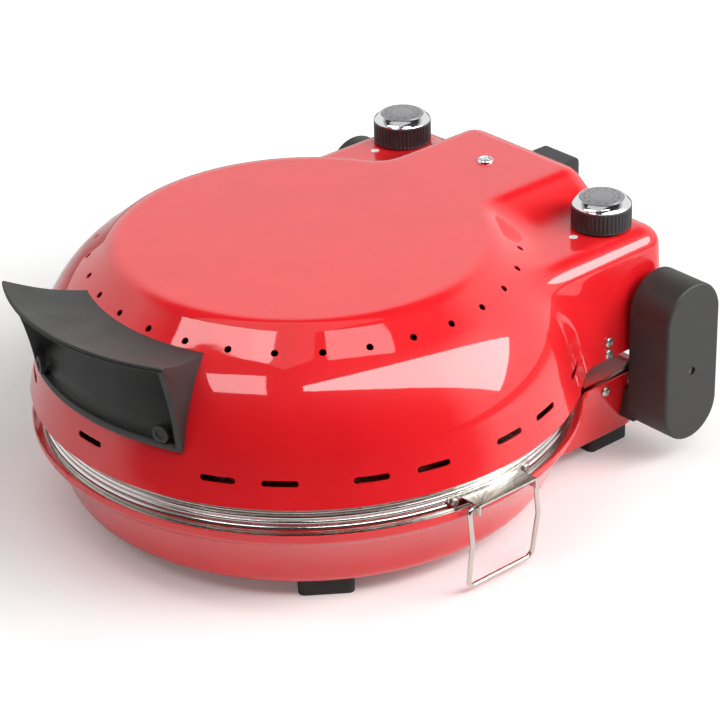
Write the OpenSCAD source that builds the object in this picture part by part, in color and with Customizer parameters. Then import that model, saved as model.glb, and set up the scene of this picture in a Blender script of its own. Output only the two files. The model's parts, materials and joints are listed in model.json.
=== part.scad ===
// Countertop pizza oven: a round pressed-steel clamshell with a rear control housing.
// The base stands on four feet, the lid swings up about a cross axis behind the chamber,
// two wire bails hang at the sides and two knobs turn on the lid's shoulders.
// The frame is +Z up, front at -Y, with the origin under the middle of the whole oven.

/* [Body] */
// Diameter of the round body at its rim
body_d = 352; // [300:1:430]
// Height of the base rim above the counter
rim_height = 60; // [54:1:90]
// Height of the feet
foot_height = 11; // [8:1:15]
// Thickness of the enamelled sheet
sheet = 1.2; // [0.8:0.1:2]
// Height of the rim's upright band
band_height = 5.5; // [4:0.5:8]

/* [Lid] */
// Height of the lid's top face above the base rim
lid_top = 112.5; // [95:0.5:140]
// Height of the lid's lower edge above the base rim
lid_edge = 18; // [16:0.5:22]
// Lean of the lid's skirt from upright
skirt_lean = 12.1; // [6:0.1:16]
// Slope of the lid's cone from level
cone_slope = 38.7; // [30:0.1:45]
// How far inside the body's radius the cone meets the top face
cone_inset = 56.6; // [45:0.1:70]

/* [Rear housing] */
// Width of the lid's rear housing at its lower edge
housing_w = 249.2; // [220:0.2:260]
// Height of the shoulders above the base rim
shoulder_top = 94.4; // [80:0.2:100]
// How far the lid's rear wall stands behind the round body
housing_back = 30; // [26:0.5:45]
// Half width of the raised middle where it meets the shoulders
hump_foot_x = 66; // [50:1:75]
// Half width of the raised middle at its top face
hump_top_x = 46; // [35:1:55]
// Width of the base's rear box at its upper edge
box_w = 246.8; // [218:0.2:258]
// Width of the base's rear box at its floor
box_floor_w = 225.6; // [200:0.2:240]
// How far the base's rear wall stands behind the round body
box_back = 9; // [7:0.5:11]

/* [Vents] */
// Length of a side slot
slot_l = 22; // [14:1:28]
// Width of a side slot
slot_w = 4; // [2:0.5:6]
// Height of the ring of slots above the base rim
slot_z = 33.8; // [28:0.2:40]
// Diameter of a top hole
vent_d = 4.5; // [2:0.1:7]
// Height of the ring of top holes above the base rim
vent_z = 100.2; // [97:0.1:104]

/* [Handle] */
// Reach of the handle's lip from the body's axis beyond the body's radius
handle_out = 18.8; // [14:0.2:26]
// Half angle that the handle spans
handle_half = 24.3; // [16:0.1:30]
// Height of the handle's lip above the base rim
handle_lip_z = 112.4; // [104:0.2:118]
// Height of the handle's lower edge above the base rim
handle_low_z = 47.3; // [42:0.1:54]
// Thickness of the handle's walls
handle_wall = 3; // [2:0.1:4]

/* [Hinge] */
// How far the hinge axis lies behind the round body
hinge_back = 8.5; // [7:0.5:9]
// Height of the hinge axis above the base rim
hinge_z = 9.3; // [9:0.1:10]
// Diameter of a hinge pin
pin_d = 7; // [5:0.5:8]
// Outer face of an ear cover from the middle plane
ear_out = 162.3; // [150:0.1:175]
// Inner rim of an ear cover from the middle plane
ear_in = 129; // [127:0.1:134]
// Width of an ear cover from front to back
ear_w = 48; // [40:1:52]
// Height of an ear cover
ear_h = 110.5; // [90:0.5:116]
// Wall of an ear cover
ear_wall = 2.6; // [2:0.1:4]
// Thickness of a hinge plate
plate_t = 2; // [1.5:0.1:2.2]

/* [Baking stone] */
// Diameter of the baking stone
stone_d = 310; // [250:1:316]
// Thickness of the baking stone
stone_t = 10; // [8:1:14]
// Outer diameter of a heating tube
tube_d = 6.5; // [5:0.5:8]
// Radius of a heating ring
heater_r = 100; // [60:1:112]

/* [Knobs] */
// Distance of a knob's axis from the middle plane
knob_x = 93.7; // [88:0.1:98]
// Diameter of a knob
knob_d = 39; // [30:0.5:44]
// Height of a knob with its face
knob_h = 19.7; // [15:0.1:26]
// Diameter of a knob's face disc
face_d = 28.4; // [20:0.1:30]
// Diameter of a spindle
spindle_d = 6; // [4:0.5:7]

/* [Bails] */
// Diameter of the bail wire
wire_d = 3.2; // [2.4:0.1:4]
// Distance between a bail's legs
bail_w = 55; // [44:0.5:64]
// Drop of a bail from its pivot
bail_drop = 55.6; // [40:0.1:56]

/* [Rear rest] */
// Reach of the rear rest's end behind the round body
rest_back = 55; // [44:0.5:60]
// Width of the rear rest
rest_w = 28; // [18:1:40]

/* [Hidden] */
$fn = 64;
eps = 0.01;

// Clearances
seat_gap = 0.1;      // between pressed parts that lie against each other
run_gap = 0.05;      // radial, between a pin or spindle and its bore
lid_gap = 0.4;       // between the closed lid's rim and the stone ring
stone_gap = 1;       // radial, round the baking stone
lift_gap = 0.3;      // under the baking stone
screw_gap = 0.15;    // radial, round a screw in its hole

// The body's axis, placed so that the whole oven is centred on the origin
body_r = body_d / 2;
handle_reach = body_r + handle_out;
rest_reach = body_r + rest_back;
body_y = (handle_reach - rest_reach) / 2;

// Thin sheets inside the oven
foil = 1;            // reflectors and covers
ring_sheet = 1.2;    // stone ring and bail brackets

// Base levels, from the rim
floor_z = foot_height - rim_height;
channel_z = -band_height + sheet;
channel_in = body_r - 11;
channel_out = body_r - 0.5;

// Rear housing planes, from the body's axis
housing_y = body_r + housing_back;
housing_lean = 3;    // how far the rear wall leans in at the shoulders
housing_front = 60;
side_lean = 2.7;     // how far a side wall leans in at the shoulders
edge_r = 12;
corner_r = 14;
box_y = body_r + box_back;
arc_steps = 6;

// Hinge
hinge_y = body_r + hinge_back;
hinge_boss_r = 8.2;
plate_margin = 7;    // plate in front of the first side screw
pin_screw_r = 1.6;
ear_hole_r = 2.9;
ear_rise = 6.6;      // how far an ear's middle stands above the hinge axis
lid_plate_out = housing_w / 2 - 2.3;
lid_plate_in = lid_plate_out - plate_t;
base_plate_out = lid_plate_in - 0.5;
base_plate_in = base_plate_out - plate_t;
pin_in = base_plate_in - 2;
pin_out = ear_out - 6.5;
side_screw_y = [body_r - 29.4, body_r - 6];
lid_screw_z = [21.5, 30];
base_screw_z = [-6.3, -6.3];
screw_r = 2;
screw_hole_r = screw_r + screw_gap;
nut_r = 3.6;
nut_h = 3;

// Roundings of the lid's sheet, by outer radius
skirt_round = 90;
top_round = 15;
hump_round = 8;

// Lid heights inside
rim_r = body_r - 7.5;
rim_face_z = [lid_edge - 8 + lid_gap, lid_edge + 2.5];
ring_top_z = rim_face_z[0] - lid_gap;
ceiling_z = lid_top - 28.5;

// Baking stone
stone_r = stone_d / 2;
ring_wall_in = stone_r + stone_gap;
ledge_z = -7;
stone_z = ledge_z + ring_sheet + lift_gap;
ledge_in = stone_r - 6;

// Heaters
lower_heater_z = -24;
upper_heater_z = ceiling_z - 18;
leg_x = 9;
leg_end = body_r + 3;
terminal_d = 3;
terminal_l = 12;
clip_angles = [0, 120, 240];
clip_t = 1.5;
clip_w = 12;

// Knobs
knob_y = body_r - 6.4;
knob_z = shoulder_top + 0.8;
bush_r = 5;
control_h = 22;
control_drop = 1.5;  // the flange between a control body and the shell
spindle_top = knob_z + knob_h - 5;

// Bails
pivot_x = body_r + 2.2;
pivot_z = 1.2;
bracket_half = 24;
bracket_out = body_r + 7.4;
shelf_z = pivot_z + 2.4;
strap_h = 7.6;
strap_half_angle = 11.5;
lug_drop = 3.4;      // how far a lug reaches below the pivot
bracket_screw_y = 29.5;
bracket_screw_r = 1.5;
wire_joint = 0.06;   // how much wider a bend's ball is than the wire

// Feet
foot_w = 34.5;
foot_d = 28;
foot_corner_r = 4;
foot_recess = 5;     // radius and depth of the hollow under a foot
front_foot_angle = 53;
front_foot_r = body_r - 44;
rear_foot = [box_floor_w / 2 - 18.8, box_y - 18];

// Pilot lamp
lamp_y = body_r - 18.4;
lamp_r = 3.9;
lens_step = 0.7;     // how far the lens's stem stands inside its rim
lens_seat = 0.8;     // height of the lens's seat above the shell

function reversed(list) = [for (i = [len(list) - 1:-1:0]) list[i]];
function unit(v) = v / norm(v);
function left_of(a, b) = let (u = unit(b - a)) [-u[1], u[0]];
function cross2(a, b) = a[0] * b[1] - a[1] * b[0];
// Where the line through p along u meets the line through q along v
function meet(p, u, q, v) = p + u * cross2(q - p, v) / cross2(u, v);

// An open path moved sideways to its left by d, with its corners kept sharp
function beside(path, d) = let (n = len(path) - 1) [for (i = [0:n])
    i == 0 ? path[0] + d * left_of(path[0], path[1])
    : i == n ? path[n] + d * left_of(path[n - 1], path[n])
    : meet(path[i - 1] + d * left_of(path[i - 1], path[i]), path[i] - path[i - 1],
        path[i] + d * left_of(path[i], path[i + 1]), path[i + 1] - path[i])];

// The points of the arc of radius r that rounds the corner at b between a and c
function corner_arc(a, b, c, r) =
    let (u = unit(a - b), v = unit(c - b), half = acos(u * v) / 2,
        m = b + unit(u + v) * r / sin(half),
        s = b + u * r / tan(half) - m, e = b + v * r / tan(half) - m,
        t = atan2(s[1], s[0]), turn = (atan2(e[1], e[0]) - t + 540) % 360 - 180)
    [for (k = [0:arc_steps]) m + r * [cos(t + turn * k / arc_steps), sin(t + turn * k / arc_steps)]];

// An open path whose inner corners are rounded by the radii, where 0 keeps a corner sharp
function rounded(path, radii) = [for (i = [0:len(path) - 1])
    each (i == 0 || i == len(path) - 1 || radii[i] == 0) ? [path[i]]
        : corner_arc(path[i - 1], path[i], path[i + 1], radii[i])];

// A sheet of thickness t on the left of an open path
function sheet_outline(path, t) = concat(path, reversed(beside(path, t)));
// An open path from the middle plane, closed by its mirror image
function both_halves(path) = concat(path, [for (p = reversed(path)) [-p[0], p[1]]]);

// Lid profile as [radius, height], from its lower edge to the axis, moved inwards by inset
function lid_path(inset) =
    let (corner = meet([body_r, lid_edge], [-sin(skirt_lean), cos(skirt_lean)],
            [body_r - cone_inset, lid_top], [cos(cone_slope), -sin(cone_slope)]),
        low = [body_r, lid_edge] + [sin(skirt_lean), -cos(skirt_lean)] * (inset > 0 ? 3 : 0))
    rounded(beside([low, corner, [body_r - cone_inset, lid_top], [0, lid_top]], inset),
        [0, skirt_round - inset, top_round - inset, 0]);

// Radius of the lid's outer face at a height on its skirt
function skirt_r(z) = body_r - (z - lid_edge) * tan(skirt_lean);
// Radius of the lid's outer face at a height on its cone
function cone_r(z) = body_r - cone_inset + (lid_top - z) / tan(cone_slope);

module at_body() { translate([0, body_y, rim_height]) children(); }

// Drawn in the X-Z plane and run along Y from one place to another
module along_y(from, to) {
    translate([0, to, 0]) rotate([90, 0, 0]) linear_extrude(to - from) children();
}

// Drawn in the Y-Z plane and run along X, centred on the middle plane
module along_x(width) {
    translate([-width / 2, 0, 0]) rotate([90, 0, 90]) linear_extrude(width) children();
}

// A round bar along X between two places
module bar_x(r, from, to, y, z) {
    translate([from, y, z]) rotate([0, 90, 0]) cylinder(r = r, h = to - from);
}

// Turns a piece drawn at the front (-Y) about the body's axis towards +X
module turned(angle) { rotate([0, 0, angle]) children(); }

module left_copy() { mirror([1, 0, 0]) children(); }

// ---- Base ----

function base_path(inset) = beside([[0, floor_z], [body_r - 29, floor_z], [body_r - 23, floor_z + 2.4],
    [body_r - 19.2, floor_z + 8], [body_r - 17.7, floor_z + 13], [body_r - 14.6, floor_z + 21],
    [body_r - 10.4, floor_z + 29], [body_r - 2, -band_height - 1.5], [body_r, -band_height],
    [body_r, inset > 0 ? 5 : 0]], inset);

module base_solid(inset) {
    top = inset > 0 ? 5 : 0;
    path = base_path(inset);
    rotate_extrude($fn = 128) polygon(concat(path, [[0, path[len(path) - 1][1]]]));
    lean = (box_w - box_floor_w) / 2 / -floor_z;
    side = beside([[0, floor_z], [box_floor_w / 2, floor_z], [box_w / 2 + lean * top, top]], inset);
    along_y(housing_front, box_y - inset) polygon(both_halves(side));
}

module base_shell() {
    color("#d3141c") at_body() difference() {
        union() {
            difference() {
                base_solid(0);
                base_solid(sheet);
            }
            rotate_extrude($fn = 128) translate([channel_in, -band_height])
                square([channel_out - channel_in, sheet]);
        }
        for (side = [-1, 1], k = [0, 1])
            bar_x(screw_hole_r, side > 0 ? base_plate_out : -box_w / 2 - 5,
                side > 0 ? box_w / 2 + 5 : -base_plate_out, side_screw_y[k], base_screw_z[k]);
        foot_places() cylinder(r = screw_hole_r, h = 20, center = true);
    }
}

module base_rear_cover() {
    color("#b01018") at_body() difference() {
        translate([-base_plate_in + seat_gap, housing_front + 40, -sheet])
            cube([2 * (base_plate_in - seat_gap), box_y - sheet - seat_gap - housing_front - 40, sheet]);
        translate([0, 0, -5]) cylinder(r = body_r + 0.3, h = 10, $fn = 128);
    }
}

module lower_reflector() {
    path = [[0, floor_z + 9], [body_r - 32, floor_z + 9], [body_r - 23, floor_z + 15],
        [body_r - 16.5, channel_z], [body_r - 5, channel_z]];
    color("#b9bcc0") at_body() difference() {
        rotate_extrude($fn = 96) polygon(sheet_outline(path, foil));
        for (x = [-leg_x, leg_x])
            translate([x, heater_r, lower_heater_z]) rotate([-90, 0, 0])
                cylinder(d = tube_d + 1, h = body_r);
    }
}

// A heating ring with two legs that run back to its terminals
module heater(z) {
    gap = asin(leg_x / heater_r);
    translate([0, 0, z]) {
        rotate([0, 0, 90 + gap]) rotate_extrude(angle = 360 - 2 * gap, $fn = 96)
            translate([heater_r, 0]) circle(d = tube_d, $fn = 24);
        for (x = [-leg_x, leg_x]) translate([x, heater_r * cos(gap), 0]) rotate([-90, 0, 0]) {
            cylinder(d = tube_d, h = leg_end - terminal_l - heater_r * cos(gap), $fn = 24);
            translate([0, 0, -tube_d / 2]) cylinder(d = tube_d, h = tube_d, $fn = 24);
            cylinder(d = terminal_d, h = leg_end - heater_r * cos(gap), $fn = 24);
        }
    }
}

// Three plates that hold a heating ring, from its level to a reflector's face
module heater_clips(z, face_z) {
    low = min(z - tube_d / 2 - clip_t, face_z);
    high = max(z + tube_d / 2 + clip_t, face_z);
    for (a = clip_angles) turned(a) difference() {
        translate([-clip_t / 2, -heater_r - clip_w / 2, low]) cube([clip_t, clip_w, high - low]);
        translate([-5, -heater_r, z]) rotate([0, 90, 0]) cylinder(d = tube_d + 0.3, h = 10);
    }
}

module lower_element() { color("#55504c") at_body() heater(lower_heater_z); }
module lower_element_clips() {
    color("#b9bcc0") at_body() heater_clips(lower_heater_z, floor_z + 9 + foil);
}

module stone_ring() {
    path = [[ledge_in, ledge_z], [ring_wall_in + ring_sheet, ledge_z],
        [ring_wall_in + ring_sheet, ring_top_z - ring_sheet],
        [rim_r - ring_sheet, ring_top_z - ring_sheet], [rim_r - ring_sheet, channel_z + foil]];
    color("#c9ccd0") at_body() difference() {
        rotate_extrude($fn = 128) polygon(sheet_outline(path, ring_sheet));
        for (m = [0, 1]) mirror([m, 0, 0]) bracket_screw_places()
            cylinder(r = bracket_screw_r + screw_gap, h = 12, center = true);
    }
}

module pizza_stone() {
    color("#cdb894") at_body() translate([0, 0, stone_z])
        cylinder(d = stone_d, h = stone_t, $fn = 128);
}

// ---- Bails ----

// A strap on the stone ring with a shelf and two lugs that carry the bail's ends
module bail_bracket() {
    strap_r = rim_r + seat_gap;
    shelf_in = strap_r - 2.4;
    lug_x = body_r + 0.8;
    difference() {
        union() {
            rotate([0, 0, -strap_half_angle]) rotate_extrude(angle = 2 * strap_half_angle, $fn = 128)
                translate([strap_r, shelf_z - lug_drop - 1]) square([ring_sheet, strap_h]);
            translate([shelf_in, -bracket_half, shelf_z])
                cube([bracket_out - shelf_in, 2 * bracket_half, ring_sheet]);
            for (y = [-bracket_half, bracket_half - ring_sheet])
                translate([lug_x, y, pivot_z - lug_drop])
                    cube([bracket_out - lug_x, ring_sheet, shelf_z - pivot_z + lug_drop + eps]);
        }
        translate([0, 0, -10]) cylinder(r = strap_r, h = 30, $fn = 128);
        translate([pivot_x, 0, pivot_z]) rotate([90, 0, 0])
            cylinder(d = wire_d + 2 * run_gap, h = 4 * bracket_half, center = true);
        bracket_screw_places() cylinder(r = bracket_screw_r + screw_gap, h = 20, center = true);
    }
}

module bracket_screw_places() {
    a = asin(bracket_screw_y / rim_r);
    for (s = [-1, 1]) turned(s * a)
        translate([rim_r, 0, shelf_z - 0.8]) rotate([0, 90, 0]) children();
}

// A round wire through a list of points, with round joints
module wire(points, d) {
    for (i = [0:len(points) - 2]) {
        v = points[i + 1] - points[i];
        translate(points[i]) rotate([0, acos(v[2] / norm(v)), atan2(v[1], v[0])])
            cylinder(d = d, h = norm(v), $fn = 24);
    }
    for (i = [1:len(points) - 2]) translate(points[i]) sphere(d = d + wire_joint, $fn = 24);
}

module bail() {
    half = bail_w / 2;
    side = [[pivot_x, bracket_half - 4, pivot_z], [pivot_x, half, pivot_z],
        [pivot_x + 2.8, half, pivot_z - 0.42 * bail_drop],
        [pivot_x - 2, half - 0.8, pivot_z - bail_drop]];
    wire(concat(side, [for (p = reversed(side)) [p[0], -p[1], p[2]]]), wire_d);
}

module bail_bracket_right() { color("#b7b2a8") at_body() bail_bracket(); }
module bail_bracket_left() { color("#b7b2a8") at_body() left_copy() bail_bracket(); }
module bail_right() { color("#c4bdb2") at_body() bail(); }
module bail_left() { color("#c4bdb2") at_body() left_copy() bail(); }
module bracket_screws() {
    seat = ring_sheet + 2 * seat_gap;
    color("#d0d2d4") at_body() for (m = [0, 1]) mirror([m, 0, 0]) bracket_screw_places() {
        translate([0, 0, seat]) cylinder(r = 2 * bracket_screw_r, h = 1.8);
        translate([0, 0, -5]) cylinder(r = bracket_screw_r, h = 5 + seat + eps);
    }
}

// ---- Feet ----

module foot_places() {
    for (m = [0, 1]) mirror([m, 0, 0]) {
        turned(front_foot_angle) translate([0, -front_foot_r, floor_z]) children();
        translate([rear_foot[0], rear_foot[1], floor_z]) children();
    }
}

// A foot drawn with its long side along X
module foot() {
    r = foot_corner_r;
    translate([0, 0, -foot_height]) difference() {
        union() {
            for (w = [0, 2 * r]) translate([-(foot_w - w) / 2, -(foot_d - 2 * r + w) / 2, 0])
                cube([foot_w - w, foot_d - 2 * r + w, foot_height]);
            for (x = [-1, 1], y = [-1, 1])
                translate([x * (foot_w / 2 - r), y * (foot_d / 2 - r), 0]) cylinder(r = r, h = foot_height);
        }
        translate([0, 0, -eps]) cylinder(r = foot_recess, h = foot_recess);
        cylinder(r = screw_hole_r, h = 3 * foot_height, center = true);
    }
}

module front_foot() { turned(front_foot_angle) translate([0, -front_foot_r, floor_z]) foot(); }
module rear_foot_right() {
    translate([rear_foot[0], rear_foot[1], floor_z]) rotate([0, 0, 90]) foot();
}
module foot_front_right() { color("#1c1c1d") at_body() front_foot(); }
module foot_front_left() { color("#1c1c1d") at_body() left_copy() front_foot(); }
module foot_rear_right() { color("#1c1c1d") at_body() rear_foot_right(); }
module foot_rear_left() { color("#1c1c1d") at_body() left_copy() rear_foot_right(); }
module foot_screws() {
    head_z = foot_recess - foot_height;
    color("#9a9da0") at_body() foot_places() {
        translate([0, 0, head_z - 2.5]) cylinder(r = 3.6, h = 2.5);
        translate([0, 0, head_z - eps]) cylinder(r = screw_r, h = 5 + sheet - head_z);
        translate([0, 0, sheet]) cylinder(r = nut_r, h = nut_h);
    }
}

// ---- Hinge ----

module base_hinge_plate() {
    low = base_screw_z[0] - 3.4;
    back = box_y - sheet - 0.3;
    difference() {
        union() {
            translate([base_plate_in, 0, 0]) rotate([90, 0, 90]) linear_extrude(plate_t)
                polygon([[side_screw_y[0] - plate_margin, low], [back, low], [back, 0],
                    [hinge_y + hinge_boss_r * cos(30), hinge_z - hinge_boss_r / 2],
                    [hinge_y, hinge_z + hinge_boss_r], [hinge_y - 18, 1],
                    [side_screw_y[0] - plate_margin, -2]]);
            bar_x(hinge_boss_r, base_plate_in, base_plate_out, hinge_y, hinge_z);
        }
        bar_x(pin_d / 2, 0, ear_out, hinge_y, hinge_z);
        for (k = [0, 1]) bar_x(screw_hole_r, 0, ear_out, side_screw_y[k], base_screw_z[k]);
    }
}

module lid_hinge_plate() {
    top = lid_screw_z[1] + 8;
    low = lid_edge + 0.2;
    difference() {
        union() {
            translate([lid_plate_in, 0, 0]) rotate([90, 0, 90]) linear_extrude(plate_t)
                polygon([[side_screw_y[0] - plate_margin, low], [hinge_y - 16, low],
                    [hinge_y - hinge_boss_r * cos(40), hinge_z - hinge_boss_r * sin(40)],
                    [hinge_y + hinge_boss_r, hinge_z], [hinge_y + hinge_boss_r, top],
                    [side_screw_y[1] - 8, top], [side_screw_y[0] - plate_margin, low + 8]]);
            bar_x(hinge_boss_r, lid_plate_in, lid_plate_out, hinge_y, hinge_z);
        }
        bar_x(pin_d / 2 + run_gap, 0, ear_out, hinge_y, hinge_z);
        for (k = [0, 1]) bar_x(screw_hole_r, 0, ear_out, side_screw_y[k], lid_screw_z[k]);
    }
}

module hinge_pin() {
    difference() {
        union() {
            bar_x(pin_d / 2, pin_in, pin_out, hinge_y, hinge_z);
            bar_x(pin_d / 2 + 2, pin_in - 1.6, pin_in + 1.9, hinge_y, hinge_z);
        }
        bar_x(pin_screw_r, pin_out - 12, pin_out + 1, hinge_y, hinge_z);
    }
}

module base_hinge_plate_right() { color("#8f9296") at_body() base_hinge_plate(); }
module base_hinge_plate_left() { color("#8f9296") at_body() left_copy() base_hinge_plate(); }
module lid_hinge_plate_right() { color("#8f9296") at_body() lid_hinge_plate(); }
module lid_hinge_plate_left() { color("#8f9296") at_body() left_copy() lid_hinge_plate(); }
module hinge_pin_right() { color("#a9acb0") at_body() hinge_pin(); }
module hinge_pin_left() { color("#a9acb0") at_body() left_copy() hinge_pin(); }

// Two round ends joined by straight sides, upright in the Y-Z plane, from one x to another
module upright_slot(r, height, from, to, y, z) {
    half = height / 2 - r;
    for (s = [-1, 1]) bar_x(r, from, to, y, z + s * half);
    translate([from, y - r, z - half]) cube([to - from, 2 * r, 2 * half]);
}

module ear_cover() {
    ear_z = hinge_z + ear_rise;
    pad_y = [box_y - 19, box_y - 3];
    pad_z = [-34, base_screw_z[1] - 5];
    lean = (box_w - box_floor_w) / 2 / -floor_z;
    wall_top = box_w / 2 + lean * pad_z[1] + seat_gap;
    wall_low = box_w / 2 + lean * pad_z[0] + seat_gap;
    difference() {
        union() {
            difference() {
                upright_slot(ear_w / 2, ear_h, ear_in, ear_out, hinge_y, ear_z);
                upright_slot(ear_w / 2 - ear_wall, ear_h - 2 * ear_wall, ear_in - 1,
                    ear_out - ear_wall, hinge_y, ear_z);
            }
            bar_x(pin_d / 2 + 3, ear_out - 22, ear_out - eps, hinge_y, hinge_z);
            along_y(pad_y[0], pad_y[1]) polygon([[wall_top, pad_z[1]], [ear_in + 8, pad_z[1]],
                [ear_in + 8, pad_z[0] + 6], [ear_in, pad_z[0]], [wall_low, pad_z[0]]]);
            translate([ear_in, hinge_y - ear_w / 2 + 1, pad_z[0] + 8])
                cube([8, ear_w - 2, 12]);
        }
        bar_x(pin_d / 2, 0, pin_out, hinge_y, hinge_z);
        bar_x(pin_screw_r + screw_gap, 0, ear_out + 1, hinge_y, hinge_z);
        bar_x(ear_hole_r, ear_out - 4, ear_out + 1, hinge_y, hinge_z);
    }
}

module ear_cover_right() { color("#3a3a39") at_body() ear_cover(); }
module ear_cover_left() { color("#3a3a39") at_body() left_copy() ear_cover(); }
module ear_screws() {
    color("#77797c") at_body() for (m = [0, 1]) mirror([m, 0, 0]) {
        bar_x(ear_hole_r - 0.2, ear_out - 4, ear_out - 2, hinge_y, hinge_z);
        bar_x(pin_screw_r, pin_out - 9, ear_out - 3, hinge_y, hinge_z);
    }
}

// A pan-head screw along X whose head lies on a wall at x
module side_screw(x, y, z, length) {
    bar_x(3.4, x + seat_gap, x + 1.8, y, z);
    bar_x(screw_r, x - length, x + 1, y, z);
}

module base_side_screws() {
    lean = (box_w - box_floor_w) / 2 / -floor_z;
    color("#cfd1d3") at_body() for (m = [0, 1], k = [0, 1]) mirror([m, 0, 0])
        side_screw(box_w / 2 + lean * (base_screw_z[k] + 3.4), side_screw_y[k], base_screw_z[k], 7);
}

module lid_side_screws() {
    color("#cfd1d3") at_body() for (m = [0, 1], k = [0, 1]) mirror([m, 0, 0])
        side_screw(housing_w / 2, side_screw_y[k], lid_screw_z[k], 4.2);
}

// ---- Lid ----

// The rear housing's shape: side walls, shoulders and rear wall, moved inwards by inset
module housing_solid(inset) {
    low = lid_edge - (inset > 0 ? 3 : 0);
    side = rounded(beside([[housing_w / 2, low], [housing_w / 2 - side_lean, shoulder_top],
        [0, shoulder_top]], inset), [0, edge_r - inset, 0]);
    back = rounded(beside([[housing_y, low], [housing_y - housing_lean, shoulder_top],
        [housing_front, shoulder_top]], inset), [0, edge_r - inset, 0]);
    plan = rounded([[0, housing_y - inset], [housing_w / 2 - inset, housing_y - inset],
        [housing_w / 2 - inset, housing_front]], [0, corner_r - inset, 0]);
    intersection() {
        along_y(housing_front, housing_y) polygon(both_halves(side));
        along_x(housing_w) polygon(concat(back, [[housing_front, low]]));
        translate([0, 0, low]) linear_extrude(lid_top) polygon(both_halves(plan));
    }
}

// The raised middle, level with the lid's top face
module hump_solid(inset) {
    slope = (hump_foot_x - hump_top_x) / (lid_top - shoulder_top);
    foot_z = shoulder_top - 20;
    side = rounded(beside([[hump_top_x + slope * (lid_top - foot_z), foot_z], [hump_top_x, lid_top],
        [0, lid_top]], inset), [0, hump_round - inset, 0]);
    back = rounded(beside([[housing_y, lid_edge], [housing_y - housing_lean, shoulder_top],
        [housing_y - housing_lean - 1, lid_top], [housing_front, lid_top]], inset),
        [0, 0, edge_r - inset, 0]);
    intersection() {
        along_y(housing_front, housing_y) polygon(both_halves(side));
        along_x(housing_w) polygon(concat(back, [[housing_front, lid_edge]]));
    }
}

module lid_solid(inset) {
    path = lid_path(inset);
    rotate_extrude($fn = 128) polygon(concat([[0, path[0][1]]], path));
    housing_solid(inset);
    hump_solid(inset);
}

slot_angles = [31.5, 44, 62, 75, 94, 106.5, 125];
vent_step = 12;

module lid_vents() {
    for (a = concat([0], slot_angles, -slot_angles)) turned(a)
        translate([0, -skirt_r(slot_z), slot_z]) rotate([90, 0, 0]) {
            for (x = [-1, 1]) translate([x * (slot_l - slot_w) / 2, 0, 0])
                cylinder(d = slot_w, h = 12, center = true, $fn = 24);
            cube([slot_l - slot_w, slot_w, 12], center = true);
        }
    for (k = [-11.5:1:11.5]) turned(k * vent_step)
        translate([0, -cone_r(vent_z), vent_z]) rotate([cone_slope, 0, 0])
            cylinder(d = vent_d, h = 12, center = true, $fn = 24);
}

module handle_screw_places() {
    for (a = [-handle_screw_angle, handle_screw_angle]) turned(a)
        translate([0, -skirt_r(handle_screw_z) - 1, handle_screw_z]) rotate([90, 0, 0]) children();
}

module knob_places() {
    for (x = [-knob_x, knob_x]) translate([x, knob_y, 0]) children();
}

module lid_shell() {
    color("#d3141c") at_body() difference() {
        lid_solid(0);
        lid_solid(sheet);
        lid_vents();
        knob_places() translate([0, 0, shoulder_top - 10]) cylinder(r = bush_r + seat_gap, h = 20);
        translate([0, lamp_y, lid_top - 10]) cylinder(r = lamp_r + 0.3 + seat_gap, h = 20);
        for (side = [-1, 1], k = [0, 1])
            bar_x(screw_hole_r, side > 0 ? 100 : -140, side > 0 ? 140 : -100,
                side_screw_y[k], lid_screw_z[k]);
        handle_screw_places() cylinder(r = screw_hole_r, h = 20, center = true);
        rest_screw_places() cylinder(r = screw_hole_r, h = 30, center = true);
        gland_place() cylinder(r = gland_r + seat_gap, h = 30, center = true);
    }
}

module lid_back_cover() {
    inner = body_r - 6.8;
    color("#8d9094") at_body() difference() {
        intersection() {
            housing_solid(sheet + 0.3);
            translate([0.3 - lid_plate_in, housing_front, rim_face_z[1] - foil])
                cube([2 * (lid_plate_in - 0.3), housing_y - housing_front, foil]);
        }
        cylinder(r = inner, h = 40, $fn = 128);
    }
}

module lid_reflector() {
    path = [[0, ceiling_z], [body_r - 54, ceiling_z], [body_r - 29, ceiling_z - 13],
        [body_r - 11.5, lid_edge + 16], [body_r - 11, rim_face_z[0] + foil],
        [rim_r - foil, rim_face_z[0] + foil], [rim_r - foil, rim_face_z[1] + foil],
        [skirt_r(rim_face_z[1]) - sheet - 0.5, rim_face_z[1] + foil]];
    color("#c4c7cb") at_body() difference() {
        rotate_extrude($fn = 96) polygon(sheet_outline(path, -foil));
        for (x = [-leg_x, leg_x])
            translate([x, heater_r, upper_heater_z]) rotate([-90, 0, 0])
                cylinder(d = tube_d + 1, h = body_r);
    }
}

module upper_element() { color("#55504c") at_body() heater(upper_heater_z); }
module upper_element_clips() {
    color("#b9bcc0") at_body() heater_clips(upper_heater_z, ceiling_z - foil);
}

// ---- Handle ----

handle_front_r = 155;    // radius of the handle's front in plan
handle_screw_angle = 20;
handle_screw_z = 58;

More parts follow.
